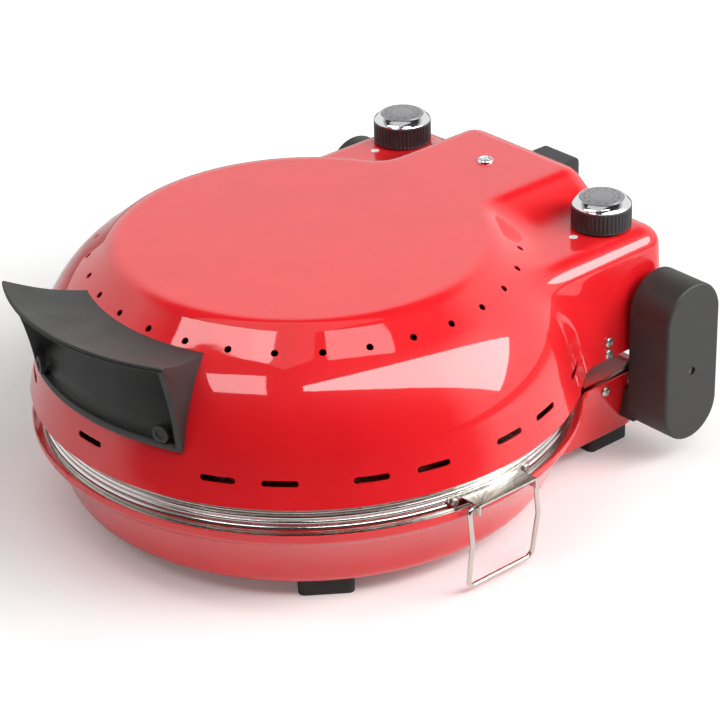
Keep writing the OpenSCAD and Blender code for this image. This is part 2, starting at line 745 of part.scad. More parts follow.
module handle() {
    root_z = vent_z - 4;
    root = [cone_r(root_z) - 6, root_z];
    lip = [handle_reach, handle_lip_z];
    down = [0, -handle_wall];
    low = [skirt_r(handle_low_z) + handle_wall, handle_low_z];
    bend = [cone_r(root_z) + 20, root_z - 18];
    hip = [skirt_r(68) + handle_wall - 0.5, 68];
    full = [root, lip, lip + down, low, low - [12, 0], root - [14, 12]];
    hollow = [lip + down - [-5, 0], lip + down + [-3, -1], root + [14, -1.5], bend + [4, -1],
        hip, low + [0, 2.5], low + [10, 2.5]];
    color("#3c3c3b") at_body() difference() {
        intersection() {
            rotate([0, 0, -90 - handle_half]) rotate_extrude(angle = 2 * handle_half, $fn = 128)
                polygon(full);
            translate([0, handle_front_r - handle_reach, 0])
                cylinder(r = handle_front_r, h = 200, $fn = 128);
        }
        rotate([0, 0, -90 - handle_half + 1]) rotate_extrude(angle = 2 * (handle_half - 1), $fn = 128)
            polygon(hollow);
        lid_solid(-seat_gap);
        handle_screw_places() cylinder(r = screw_hole_r, h = 20, center = true);
    }
}

module handle_screws() {
    color("#55585b") at_body() handle_screw_places() {
        translate([0, 0, handle_wall + 0.3]) cylinder(r = 3.2, h = 1.8);
        translate([0, 0, -8]) cylinder(r = screw_r, h = 9 + handle_wall);
        translate([0, 0, -8]) cylinder(r = nut_r, h = nut_h);
    }
}

// ---- Rear rest and cord gland ----

rest_top = shoulder_top + 3.6;
rest_low = shoulder_top - 32;
rest_screw_z = [rest_low + 7, rest_low + 19];
rest_end_r = 5;
gland_r = 6;
gland_flange = 3;
lead_r = 3.6;
gland_x = -60;
gland_z = 45;

function rear_wall_y(z) = housing_y - housing_lean * (z - lid_edge) / (shoulder_top - lid_edge);

module rest_screw_places() {
    for (z = rest_screw_z) translate([0, rear_wall_y(z), z]) rotate([-90, 0, 0]) children();
}

module rear_rest() {
    y0 = rear_wall_y(rest_low) + seat_gap;
    y1 = rear_wall_y(rest_top) + seat_gap;
    tip = rounded([[y0, rest_low], [y0 + 6, rest_low], [rest_reach, rest_top - 16],
        [rest_reach, rest_top], [y1, rest_top]], [0, 3, rest_end_r, rest_end_r, 0]);
    color("#2a2a2a") at_body() difference() {
        along_x(rest_w) polygon(tip);
        rest_screw_places() cylinder(r = screw_hole_r, h = 30, center = true);
        for (z = rest_screw_z)
            translate([0, rear_wall_y(z) + 5, z]) rotate([-90, 0, 0]) cylinder(r = 4, h = 40);
    }
}

module rest_screws() {
    color("#77797c") at_body() rest_screw_places() {
        translate([0, 0, 5]) cylinder(r = 3.6, h = 2.4);
        translate([0, 0, -6]) cylinder(r = screw_r, h = 11 + eps);
        translate([0, 0, -5]) cylinder(r = nut_r, h = nut_h);
    }
}

module gland_place() {
    translate([gland_x, rear_wall_y(gland_z), gland_z]) rotate([-90, 0, 0]) children();
}

module cord_gland() {
    color("#1c1c1d") at_body() gland_place() difference() {
        union() {
            translate([0, 0, seat_gap + 0.3]) cylinder(r = gland_r + gland_flange, h = 3);
            translate([0, 0, -6]) cylinder(r = gland_r, h = 7);
            translate([0, 0, -6]) cylinder(r = gland_r + gland_flange, h = 3.5);
            translate([0, 0, 3]) cylinder(r1 = gland_r, r2 = gland_r - 1.2, h = 8);
        }
        cylinder(r = lead_r, h = 60, center = true);
    }
}

// ---- Controls ----

// A control with a bush through the shell and two terminals below, round its spindle's bore
module control_body(r) {
    under = shoulder_top - sheet;
    difference() {
        union() {
            translate([0, 0, under - control_drop + seat_gap - control_h]) cylinder(r = r, h = control_h);
            translate([0, 0, under - control_drop]) cylinder(r = bush_r, h = sheet + control_drop);
            translate([0, 0, under - control_drop])
                cylinder(r = bush_r + 3, h = control_drop - seat_gap);
            for (x = [-1, 1]) translate([x * r / 2 - 3, -0.4, under - control_h - 8])
                cube([6, 0.8, 9]);
        }
        translate([0, 0, under - control_h + 6]) cylinder(r = spindle_d / 2 + run_gap, h = 60);
    }
}

module thermostat() { color("#b5b0a0") at_body() translate([-knob_x, knob_y, 0]) control_body(15); }
module timer() { color("#d8d8d4") at_body() translate([knob_x, knob_y, 0]) control_body(19); }

module knob_spindle() {
    low = shoulder_top - sheet - control_h + 6.4;
    translate([0, 0, low]) cylinder(d = spindle_d, h = spindle_top - low);
}

bevel_h = 4.6;
bevel_wall = 1;
face_t = 1.5;
bevel_drop = 0.4;    // how far the face disc stands above the bevel

module knob_body() {
    body_h = knob_h - bevel_h - bevel_drop;
    difference() {
        union() {
            translate([0, 0, knob_z]) cylinder(d = knob_d, h = body_h, $fn = 72);
            translate([0, 0, knob_z]) cylinder(d = face_d - 2, h = knob_h - face_t);
        }
        translate([0, 0, knob_z - 1]) cylinder(d = spindle_d, h = spindle_top - knob_z + 1);
    }
}

module knob_bevel() {
    low = knob_z + knob_h - bevel_h - bevel_drop;
    difference() {
        translate([0, 0, low]) cylinder(d1 = knob_d - 0.6, d2 = face_d + 2 * bevel_wall, h = bevel_h);
        translate([0, 0, low - eps]) cylinder(d = face_d - 2, h = bevel_h + 1);
        translate([0, 0, knob_z + knob_h - face_t]) cylinder(d = face_d, h = bevel_h);
    }
}

module knob_face() {
    translate([0, 0, knob_z + knob_h - face_t]) cylinder(d = face_d, h = face_t);
}

module at_thermostat() { at_body() translate([-knob_x, knob_y, 0]) children(); }
module at_timer() { at_body() translate([knob_x, knob_y, 0]) children(); }
module thermostat_spindle() { color("#c8c9ca") at_thermostat() knob_spindle(); }
module thermostat_knob() { color("#161617") at_thermostat() knob_body(); }
module thermostat_bevel() { color("#dfe1e3") at_thermostat() knob_bevel(); }
module thermostat_face() { color("#3b3c3e") at_thermostat() knob_face(); }
module timer_spindle() { color("#c8c9ca") at_timer() knob_spindle(); }
module timer_knob() { color("#161617") at_timer() knob_body(); }
module timer_bevel() { color("#dfe1e3") at_timer() knob_bevel(); }
module timer_face() { color("#3b3c3e") at_timer() knob_face(); }

// ---- Pilot lamp ----

module pilot_bezel() {
    color("#d5d7d9") at_body() translate([0, lamp_y, lid_top]) difference() {
        union() {
            translate([0, 0, seat_gap]) cylinder(r1 = lamp_r + 1.6, r2 = lamp_r + 1, h = 1.8);
            translate([0, 0, -3]) cylinder(r = lamp_r + 0.3, h = 3 + seat_gap + eps);
        }
        translate([0, 0, -5]) cylinder(r = lamp_r - lens_step, h = 10);
        translate([0, 0, lens_seat]) cylinder(r = lamp_r, h = 5);
    }
}

module pilot_lens() {
    color("#e8e4dc") at_body() translate([0, lamp_y, lid_top]) {
        translate([0, 0, lens_seat]) cylinder(r = lamp_r, h = 1.2);
        translate([0, 0, -2]) cylinder(r = lamp_r - lens_step, h = 2 + lens_seat + eps);
    }
}

module pilot_holder() {
    color("#e0ddd5") at_body() translate([0, lamp_y, lid_top - 18]) difference() {
        cylinder(r = lamp_r + 1.2, h = 15);
        translate([0, 0, 3]) cylinder(r = lamp_r - lens_step, h = 13);
    }
}

base_shell();
base_rear_cover();
lower_reflector();
lower_element();
lower_element_clips();
stone_ring();
pizza_stone();
bail_bracket_right();
bail_bracket_left();
bail_right();
bail_left();
bracket_screws();
foot_front_left();
foot_front_right();
foot_rear_left();
foot_rear_right();
foot_screws();
base_hinge_plate_right();
base_hinge_plate_left();
hinge_pin_right();
hinge_pin_left();
ear_cover_right();
ear_cover_left();
ear_screws();
base_side_screws();
lid_shell();
lid_back_cover();
lid_reflector();
upper_element();
upper_element_clips();
lid_hinge_plate_right();
lid_hinge_plate_left();
lid_side_screws();
handle();
handle_screws();
rear_rest();
rest_screws();
cord_gland();
thermostat();
timer();
pilot_bezel();
pilot_lens();
pilot_holder();
thermostat_spindle();
thermostat_knob();
thermostat_bevel();
thermostat_face();
timer_spindle();
timer_knob();
timer_bevel();
timer_face();
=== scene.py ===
import json
import math

import bmesh
import bpy
import numpy as np
from mathutils import Matrix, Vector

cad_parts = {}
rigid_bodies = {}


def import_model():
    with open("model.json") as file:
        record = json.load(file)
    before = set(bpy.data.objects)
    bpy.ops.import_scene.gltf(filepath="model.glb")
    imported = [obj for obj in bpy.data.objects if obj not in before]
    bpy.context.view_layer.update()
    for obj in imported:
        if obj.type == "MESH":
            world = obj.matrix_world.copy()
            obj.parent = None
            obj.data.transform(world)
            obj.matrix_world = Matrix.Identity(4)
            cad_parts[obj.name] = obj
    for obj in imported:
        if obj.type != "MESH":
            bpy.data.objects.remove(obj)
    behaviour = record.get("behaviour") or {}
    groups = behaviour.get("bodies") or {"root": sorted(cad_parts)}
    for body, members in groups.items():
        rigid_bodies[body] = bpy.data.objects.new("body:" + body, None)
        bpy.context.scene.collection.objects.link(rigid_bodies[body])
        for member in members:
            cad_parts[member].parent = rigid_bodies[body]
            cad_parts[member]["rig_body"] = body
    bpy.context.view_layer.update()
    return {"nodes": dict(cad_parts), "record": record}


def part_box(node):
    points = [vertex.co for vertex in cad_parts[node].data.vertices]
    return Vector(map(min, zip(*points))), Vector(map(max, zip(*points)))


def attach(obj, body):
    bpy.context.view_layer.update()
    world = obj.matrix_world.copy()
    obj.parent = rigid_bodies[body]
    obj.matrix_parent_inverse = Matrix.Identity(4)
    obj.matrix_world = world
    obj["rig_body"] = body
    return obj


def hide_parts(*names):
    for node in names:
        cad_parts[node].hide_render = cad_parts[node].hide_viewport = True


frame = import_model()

MM = 0.001
TAU = 2 * math.pi

# The body's axis and the height of the base's rim. Sizes below are in millimetres from there.
stone_low, stone_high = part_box("pizza_stone")
AXIS = np.array([0.0, (stone_low.y + stone_high.y) / 2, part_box("base_rear_cover")[1].z])

SLOTS = {part["node"]: part["material_slot"] for part in frame["record"]["subparts"]}


# ---- Finishes ----

class Web:
    """A material's nodes, added one after another. Places are the object's own coordinates, in metres."""

    def __init__(self, name):
        self.material = bpy.data.materials.new(name)
        self.material.use_nodes = True
        self.tree = self.material.node_tree
        self.tree.nodes.clear()
        self.place = self.add("TexCoord").outputs["Object"]

    def add(self, kind, inputs=None, **settings):
        node = self.tree.nodes.new("ShaderNode" + kind)
        for key, value in settings.items():
            setattr(node, key, value)
        for key, value in (inputs or {}).items():
            if isinstance(value, bpy.types.NodeSocket):
                self.tree.links.new(value, node.inputs[key])
            else:
                node.inputs[key].default_value = value
        return node

    def math(self, operation, *values):
        return self.add("Math", dict(enumerate(values)), operation=operation).outputs[0]

    def noise(self, scale, detail=3.0, rough=0.5, place=None):
        """Noise with features of about 1 / scale metres."""
        return self.add("TexNoise", {"Vector": place or self.place, "Scale": scale, "Detail": detail,
                                     "Roughness": rough}).outputs["Fac"]

    def spread(self, value, low, high, start=0.0, end=1.0):
        """A value between start and end, turned into one between low and high and kept there."""
        return self.add("MapRange", {"Value": value, "From Min": start, "From Max": end, "To Min": low,
                                     "To Max": high}).outputs["Result"]

    def blend(self, factor, first, second):
        """One colour turning into another."""
        node = self.add("Mix", data_type="RGBA")
        for socket, value in ((node.inputs["Factor"], factor), (node.inputs[6], first), (node.inputs[7], second)):
            if isinstance(value, bpy.types.NodeSocket):
                self.tree.links.new(value, socket)
            else:
                socket.default_value = value if isinstance(value, float) else (*value, 1.0)
        return node.outputs[2]

    def bump(self, height, depth, strength=1.0, before=None):
        """A relief of the given depth in metres."""
        inputs = {"Height": height, "Distance": depth, "Strength": strength}
        if before:
            inputs["Normal"] = before
        return self.add("Bump", inputs).outputs["Normal"]

    def polar(self, x, y):
        """Distance from an upright axis at a place, and the angle round it."""
        at = self.add("SeparateXYZ", {"Vector": self.place})
        dx, dy = self.math("SUBTRACT", at.outputs[0], x), self.math("SUBTRACT", at.outputs[1], y)
        far = self.math("SQRT", self.math("ADD", self.math("MULTIPLY", dx, dx), self.math("MULTIPLY", dy, dy)))
        return far, self.math("ARCTAN2", dy, dx), at.outputs[2]

    def brushed(self, x, y, fine=9000.0):
        """Fine lines that run round an axis: noise that changes fast with radius and height, slowly with angle."""
        far, angle, z = self.polar(x, y)
        place = self.add("CombineXYZ", {0: self.math("MULTIPLY", far, fine), 1: self.math("MULTIPLY", angle, 5.0),
                                        2: self.math("MULTIPLY", z, fine)}).outputs[0]
        return self.noise(1.0, 2.0, 0.6, place)

    def surface(self, **values):
        """The one surface shader, linked to the output."""
        names = {key: key.replace("_", " ") for key in values}
        shader = self.add("BsdfPrincipled", {names[key]: value for key, value in values.items()})
        out = self.add("OutputMaterial")
        self.tree.links.new(shader.outputs["BSDF"], out.inputs["Surface"])
        return self.material


def enamel():
    """Glossy sprayed enamel: a faint ripple, fine dust in the gloss, and two white index dots on the shoulders."""
    web = Web("red enamel")
    smudge = web.noise(24.0, 5.0, 0.6)
    fine = web.noise(700.0, 2.0)
    colour = web.blend(web.spread(smudge, 0.0, 1.0, 0.3, 0.7), (0.80, 0.012, 0.018), (0.74, 0.009, 0.014))
    dots = None
    for x in (-93.7, 93.7):
        far, _, z = web.polar(x * MM, AXIS[1] + DOT_Y * MM)
        dot = web.math("MULTIPLY", web.spread(far, 1.0, 0.0, 0.0027, 0.0029),
                       web.math("GREATER_THAN", z, AXIS[2] + 0.09))
        dots = web.math("MAXIMUM", dots, dot) if dots else dot
    colour = web.blend(dots, colour, (0.86, 0.86, 0.84))
    ripple = web.bump(web.noise(160.0, 1.0), 0.00002, 0.55)
    return web.surface(Base_Color=colour, Roughness=web.spread(fine, 0.30, 0.42, 0.3, 0.7), Normal=ripple,
                       Specular_IOR_Level=0.12,
                       Coat_Weight=1.0, Coat_Roughness=0.035, Coat_IOR=1.6, Coat_Normal=ripple)


def steel(name, colour, low, high, fine=9000.0, x=0.0, y=None):
    """Sheet metal with fine lines round an axis and soft stains."""
    web = Web(name)
    lines = web.brushed(x, AXIS[1] if y is None else y, fine)
    stain = web.noise(30.0, 5.0, 0.6)
    rough = web.math("ADD", web.spread(lines, 0.0, 0.08, 0.3, 0.7), web.spread(stain, low, high, 0.3, 0.7))
    tone = web.blend(web.spread(stain, 0.0, 1.0, 0.35, 0.75), colour, tuple(c * 0.86 for c in colour))
    return web.surface(Base_Color=tone, Metallic=1.0, Roughness=rough, Normal=web.bump(lines, 0.00001, 0.35))


def zinc():
    """Plated screws and plates: a slightly yellow, mottled grey metal."""
    web = Web("zinc plate")
    mottle = web.noise(420.0, 4.0, 0.65)
    tone = web.blend(web.spread(mottle, 0.0, 1.0, 0.3, 0.7), (0.62, 0.60, 0.56), (0.47, 0.46, 0.44))
    return web.surface(Base_Color=tone, Metallic=1.0, Roughness=web.spread(mottle, 0.24, 0.42, 0.3, 0.7),
                       Normal=web.bump(web.noise(1500.0), 0.000012, 0.5))


def wire():
    """Nickel plate on drawn wire, with faint scratches."""
    web = Web("nickel wire")
    stain = web.noise(60.0, 4.0, 0.6)
    scratch = web.noise(2600.0, 2.0)
    tone = web.blend(stain, (0.72, 0.70, 0.66), (0.60, 0.58, 0.54))
    return web.surface(Base_Color=tone, Metallic=1.0, Roughness=web.spread(stain, 0.12, 0.27, 0.3, 0.7),
                       Normal=web.bump(scratch, 0.000006, 0.5))


def chrome():
    """Bright plate with a little haze."""
    web = Web("chrome plate")
    haze = web.noise(180.0, 4.0, 0.6)
    tone = web.blend(haze, (0.80, 0.80, 0.80), (0.72, 0.72, 0.73))
    return web.surface(Base_Color=tone, Metallic=1.0, Roughness=web.spread(haze, 0.05, 0.16, 0.3, 0.7),
                       Normal=web.bump(web.noise(900.0), 0.000004, 0.5))


def moulding(name, colour, low, high, grain, depth):
    """Moulded plastic with a fine grain and dulled patches."""
    web = Web(name)
    grains = web.noise(grain, 2.0, 0.55)
    worn = web.noise(45.0, 4.0, 0.6)
    tone = web.blend(web.spread(worn, 0.0, 1.0, 0.35, 0.75), colour, tuple(c * 1.35 for c in colour))
    return web.surface(Base_Color=tone, Roughness=web.spread(worn, low, high, 0.3, 0.7),
                       Normal=web.bump(grains, depth, 0.6), Specular_IOR_Level=0.5)


def dial():
    """Knob faces of spun grey metal. The left has ticks round it, long and short, and the right a ring of dots;
    each also has a thin ring inside its marks."""
    web = Web("dial face")
    at = web.add("SeparateXYZ", {"Vector": web.place})
    right = web.math("GREATER_THAN", at.outputs[0], 0.0)
    centre = web.math("SUBTRACT", web.math("MULTIPLY", right, 2 * KNOB_X * MM), KNOB_X * MM)
    far, angle, z = web.polar(centre, AXIS[1] + KNOB_Y * MM)
    lines = web.noise(1.0, 2.0, 0.6, web.add("CombineXYZ", {0: web.math("MULTIPLY", far, 16000.0),
                                                            1: web.math("MULTIPLY", angle, 3.0)}).outputs[0])

    def ticks(count, half, low, high):
        """Marks at equal angles: near the middle of an angle step and between two radii."""
        step = web.math("FRACT", web.math("ADD", web.math("MULTIPLY", angle, count / TAU), 0.5))
        off = web.math("MULTIPLY", web.math("MULTIPLY", web.math("ABSOLUTE", web.math("SUBTRACT", step, 0.5)), far),
                       TAU / count)
        side = web.spread(off, 1.0, 0.0, half, half + 0.00008)
        band = web.math("MULTIPLY", web.spread(far, 0.0, 1.0, low - 0.00008, low),
                        web.spread(far, 1.0, 0.0, high, high + 0.00008))
        return web.math("MULTIPLY", side, band)

    left_marks = web.math("MAXIMUM", ticks(12, 0.00028, 0.0094, 0.0122), ticks(48, 0.00014, 0.0108, 0.0122))
    right_marks = web.math("MAXIMUM", ticks(12, 0.00050, 0.0106, 0.0118), ticks(60, 0.00018, 0.0111, 0.0116))
    marks = web.math("ADD", web.math("MULTIPLY", left_marks, web.math("SUBTRACT", 1.0, right)),
                     web.math("MULTIPLY", right_marks, right))
    ring = web.math("MULTIPLY", web.spread(far, 0.0, 1.0, 0.0081, 0.0082), web.spread(far, 1.0, 0.0, 0.0084, 0.0085))
    ink = web.math("MULTIPLY", web.math("MAXIMUM", marks, ring), web.math("GREATER_THAN", z, AXIS[2] + 0.1145))
    tone = web.blend(web.spread(lines, 0.0, 1.0, 0.3, 0.7), (0.40, 0.40, 0.41), (0.30, 0.30, 0.31))
    tone = web.blend(ink, tone, (0.02, 0.02, 0.022))
    metal = web.spread(ink, 0.85, 0.0)
    return web.surface(Base_Color=tone, Metallic=metal, Roughness=web.spread(lines, 0.30, 0.42, 0.3, 0.7),
                       Normal=web.bump(lines, 0.000008, 0.4))


def heater_skin():
    """Dark oxidised sheath, browner in patches."""
    web = Web("heater tube")
    stain = web.noise(55.0, 5.0, 0.65)
    fine = web.noise(1300.0, 3.0)
    tone = web.blend(web.spread(stain, 0.0, 1.0, 0.35, 0.7), (0.105, 0.098, 0.090), (0.16, 0.125, 0.095))
    return web.surface(Base_Color=tone, Metallic=0.75, Roughness=web.spread(stain, 0.42, 0.62, 0.3, 0.7),
                       Normal=web.bump(fine, 0.00003, 0.5))


def stoneware():
    """Pale fired stone: coarse grains, small pits and a few scorched patches."""
    web = Web("baking stone")
    grain = web.noise(620.0, 4.0, 0.7)
    patch = web.noise(16.0, 4.0, 0.6)
    tone = web.blend(web.spread(grain, 0.0, 1.0, 0.35, 0.65), (0.62, 0.53, 0.41), (0.50, 0.41, 0.30))
    tone = web.blend(web.spread(patch, 0.0, 0.5, 0.55, 0.75), tone, (0.33, 0.25, 0.17))
    pits = web.add("TexVoronoi", {"Vector": web.place, "Scale": 420.0}).outputs["Distance"]
    height = web.math("ADD", grain, web.spread(pits, 0.0, 0.6, 0.0, 0.2))
    return web.surface(Base_Color=tone, Roughness=web.spread(grain, 0.82, 0.95, 0.3, 0.7),
                       Normal=web.bump(height, 0.00012, 0.7))


def lamp():
    """A small lamp's frosted silver cap."""
    web = Web("lamp cap")
    haze = web.noise(600.0, 3.0)
    tone = web.blend(haze, (0.70, 0.72, 0.74), (0.58, 0.60, 0.62))
    return web.surface(Base_Color=tone, Metallic=0.6, Roughness=web.spread(haze, 0.10, 0.22, 0.3, 0.7),
                       Normal=web.bump(haze, 0.00001, 0.4), Coat_Weight=0.6, Coat_Roughness=0.05)


KNOB_X, KNOB_Y, DOT_Y = 93.7, 169.6, 144.5
MAKERS = {
    "red_enamel": enamel,
    "reflector_steel": lambda: steel("reflector steel", (0.66, 0.64, 0.60), 0.14, 0.30, 5000.0),
    "bright_steel": lambda: steel("bright steel", (0.74, 0.73, 0.70), 0.08, 0.20, 7000.0),
    "zinc_steel": zinc,
    "nickel_wire": wire,
    "chrome": chrome,
    "black_matte": lambda: moulding("black moulding", (0.024, 0.024, 0.023), 0.42, 0.56, 1500.0, 0.00003),
    "black_knob": lambda: moulding("knob moulding", (0.020, 0.020, 0.021), 0.28, 0.40, 2200.0, 0.00001),
    "foot_black": lambda: moulding("foot rubber", (0.026, 0.026, 0.026), 0.62, 0.80, 1200.0, 0.00004),
    "control_body": lambda: moulding("control casing", (0.30, 0.29, 0.27), 0.40, 0.55, 900.0, 0.00002),
    "dial_grey": dial,
    "heater_tube": heater_skin,
    "stone": stoneware,
    "lamp_lens": lamp,
}
FINISHES = {}


def finish(slot):
    """The finish of a material slot, made the first time it is wanted."""
    if slot not in FINISHES:
        FINISHES[slot] = MAKERS[slot]()
    return FINISHES[slot]


# ---- Working out surfaces ----

def place(points):
    """Millimetres from the axis at the rim, turned into the row's frame in metres."""
    return np.asarray(points, float) * MM + AXIS


def grid_quads(rows, cols, wrap_rows=False, wrap_cols=False, first=0):
    """Corner numbers of the quads between neighbouring rows and columns of a grid."""
    i = np.arange(rows - (not wrap_rows))[:, None]
    j = np.arange(cols - (not wrap_cols))[None, :]
    i2, j2 = (i + 1) % rows, (j + 1) % cols
    return first + np.stack([i * cols + j, i * cols + j2, i2 * cols + j2, i2 * cols + j], -1).reshape(-1, 4)


def triangles_of(quads):
    """Each quad as its two triangles."""
    return np.concatenate([quads[:, [0, 1, 2]], quads[:, [0, 2, 3]]])


def volume_of(points, quads):
    """Six times the signed volume inside a closed surface: the sum of its corners' triple products."""
    a, b, c = (points[triangles_of(quads)[:, k]] for k in range(3))
    return float((a * np.cross(b, c)).sum())


def welded(points, quads):
    """Points closer than a ten-thousandth of a millimetre become one, and quads that lose a corner become triangles."""
    keys = np.round(points * 1e4).astype(np.int64)
    first, back = np.unique(keys, axis=0, return_index=True, return_inverse=True)[1:]
    quads = back.reshape(-1)[quads]
    same = quads == np.roll(quads, -1, axis=1)
    whole = (same.sum(1) == 0) & (quads[:, 0] != quads[:, 2]) & (quads[:, 1] != quads[:, 3])
    three = same.sum(1) == 1
    return points[first], quads[whole], quads[three][~same[three]].reshape(-1, 3)


def finish_piece(obj, body, slot, nodes=()):
    """Gives a piece its body, its finish and the CAD nodes it stands for."""
    obj.data.materials.clear()
    obj.data.materials.append(finish(slot))
    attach(obj, body)
    if nodes:
        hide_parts(*nodes)
    return obj


def object_of(name, points, faces, sharp=35):
    """A mesh object whose points are already in the row's frame, smooth except at edges over an angle."""
    mesh = bpy.data.meshes.new(name)
    mesh.from_pydata(points.tolist(), [], faces)
    mesh.polygons.foreach_set("use_smooth", np.ones(len(mesh.polygons), bool))
    mesh.set_sharp_from_angle(angle=math.radians(sharp))
    mesh.update()
    obj = bpy.data.objects.new(name, mesh)
    bpy.context.scene.collection.objects.link(obj)
    return obj


def solid(name, parts, body, slot, nodes=(), sharp=35):
    """One object from closed surfaces, each a pair of points and quads, all turned to face outwards."""
    points, faces, count = [], [], 0
    for p, q in parts:
        if volume_of(p, q) < 0:
            q = q[:, ::-1]
        p, quads, threes = welded(p, q)
        points.append(p)
        faces += (quads + count).tolist() + (threes + count).tolist()
        count += len(p)
    obj = object_of(name, place(np.concatenate(points)), faces, sharp)
    return finish_piece(obj, body, slot, nodes)


def lathe(profile, count=160, centre=(0, 0), ribs=None):
    """A closed profile of (radius, height) turned about an upright axis: x = r cos a, y = r sin a.
    ribs, if given, is a function of angle and profile row that scales the radius."""
    profile = np.asarray(profile, float)
    a = np.arange(count) * TAU / count
    r = profile[:, :1] * (ribs(a, profile) if ribs else np.ones((len(profile), count)))
    z = np.repeat(profile[:, 1:], count, 1)
    points = np.stack([centre[0] + r * np.cos(a), centre[1] + r * np.sin(a), z], -1)
    return points.reshape(-1, 3), grid_quads(len(profile), count, True, True)


def soft_corners(path, radii, steps=6):
    """A path whose inner corners are arcs: each point moves along the arc that touches both sides."""
    path = [np.asarray(p, float) for p in path]
    out = [path[0][None]]
    for before, at, after, r in zip(path, path[1:], path[2:], radii):
        u, v = (before - at) / np.linalg.norm(before - at), (after - at) / np.linalg.norm(after - at)
        half = math.acos(np.clip(u @ v, -1, 1)) / 2
        if r <= 0 or half > 1.56:
            out.append(at[None])
            continue
        middle = at + (u + v) / np.linalg.norm(u + v) * r / math.sin(half)
        start = at + u * r / math.tan(half) - middle
        across = at + v * r / math.tan(half) - middle
        turn = math.pi - 2 * half
        side = (across - start * math.cos(turn)) / math.sin(turn)
        t = np.linspace(0, turn, steps + 1)[:, None]
        out.append(middle + start * np.cos(t) + side * np.sin(t))
    out.append(path[-1][None])
    return np.concatenate(out)


def closed_corners(outline, radius, steps=4):
    """A closed outline with every corner rounded by the same radius, or by a radius of its own."""
    outline = np.asarray(outline, float)
    middle = (outline[0] + outline[-1]) / 2
    radii = np.broadcast_to(radius, len(outline))
    return soft_corners([middle, *outline, middle], radii, steps)[:-1]


def tube(path, radius, sides=16, across=(1, 0, 0), closed=False):
    """A round bar along a path: each ring lies square to the path, and the ends close in a shallow dome."""
    path = np.asarray(path, float)
    if closed:
        along = np.roll(path, -1, 0) - np.roll(path, 1, 0)
    else:
        along = np.gradient(path, axis=0)
        ends = [path[0], path[0], *path, path[-1], path[-1]]
        along = np.concatenate([along[:1]] * 2 + [along] + [along[-1:]] * 2)
        path = np.array(ends)
    along /= np.linalg.norm(along, axis=1, keepdims=True)
    side = np.cross(along, across)
    side /= np.linalg.norm(side, axis=1, keepdims=True)
    other = np.cross(along, side)
    size = np.full(len(path), float(radius))
    if not closed:
        size[[0, -1]] = 0
        size[[1, -2]] = radius * 0.8
        path[[0, 1]] -= along[0] * radius * 0.25 * np.array([[1], [0.8]])
        path[[-1, -2]] += along[-1] * radius * 0.25 * np.array([[1], [0.8]])
    a = np.arange(sides) * TAU / sides
    points = path[:, None] + size[:, None, None] * (
        side[:, None] * np.cos(a)[None, :, None] + other[:, None] * np.sin(a)[None, :, None])
    return points.reshape(-1, 3), grid_quads(len(path), sides, closed, True)


def prism(outline, low, high, axis="y", edge=0.6):
    """An outline in the plane square to an axis, run along it, whose two ends draw in by a rounded edge."""
    outline = np.asarray(outline, float)
    middle = outline.mean(0)
    reach = np.linalg.norm(outline - middle, axis=1).mean()
    a = np.linspace(0, math.pi / 2, 4)
    shrink = 1 - edge / reach * (1 - np.sin(a))
    lift = edge * (1 - np.cos(a))
    places = np.concatenate([low + lift, high - lift[::-1]])
    sizes = np.concatenate([shrink, shrink[::-1]])
    places = np.concatenate([[places[0]], places, [places[-1]]])
    sizes = np.concatenate([[0], sizes, [0]])
    flat = middle + (outline - middle) * sizes[:, None, None]
    run = np.broadcast_to(places[:, None, None], flat.shape[:2] + (1,))
    order = {"x": (2, 0, 1), "y": (0, 2, 1), "z": (0, 1, 2)}[axis]
    points = np.concatenate([flat, run], -1)[..., list(order)]
    return points.reshape(-1, 3), grid_quads(len(places), len(outline), False, True)


def moved(part, matrix=None, shift=(0, 0, 0), mirror=False):
    """A part turned by a matrix, moved, and mirrored to the other side if asked."""
    points, quads = part
    if matrix is not None:
        points = points @ np.asarray(matrix, float).T
    points = points + np.asarray(shift, float)
    return (points * [-1, 1, 1] if mirror else points), quads


def turn_z(degrees):
    """The matrix of a turn about the upright axis."""
    c, s = math.cos(math.radians(degrees)), math.sin(math.radians(degrees))
    return np.array([[c, -s, 0], [s, c, 0], [0, 0, 1]])


# A part drawn along +Z, laid to point along +X or -Y
TO_X = np.array([[0, 0, 1], [0, 1, 0], [-1, 0, 0]])
TO_FRONT = np.array([[1, 0, 0], [0, 0, -1], [0, 1, 0]])
TO_BACK = np.array([[1, 0, 0], [0, 0, 1], [0, -1, 0]])


def softened(node, edge=0.3, sharp=30):
    """A copy of a CAD node with its loose triangles joined and its edges rounded."""
    obj = bpy.data.objects.new("soft_" + node, frame["nodes"][node].data.copy())
    bpy.context.scene.collection.objects.link(obj)
    work = bmesh.new()
    work.from_mesh(obj.data)
    bmesh.ops.remove_doubles(work, verts=work.verts, dist=2e-6)
    bmesh.ops.dissolve_limit(work, angle_limit=math.radians(0.6), verts=work.verts, edges=work.edges)
    work.to_mesh(obj.data)
    work.free()
    obj.data.polygons.foreach_set("use_smooth", np.ones(len(obj.data.polygons), bool))
    obj.data.set_sharp_from_angle(angle=math.radians(sharp))
    bevel = obj.modifiers.new("edges", "BEVEL")
    bevel.width = edge * MM
    bevel.segments = 2
    bevel.limit_method = "ANGLE"
    bevel.angle_limit = math.radians(sharp)
    bevel.harden_normals = True
    slot = SLOTS[node]
    return finish_piece(obj, frame["nodes"][node]["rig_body"], slot, [node])


# ---- The lid and the base: pressed shells given by where a function is zero ----

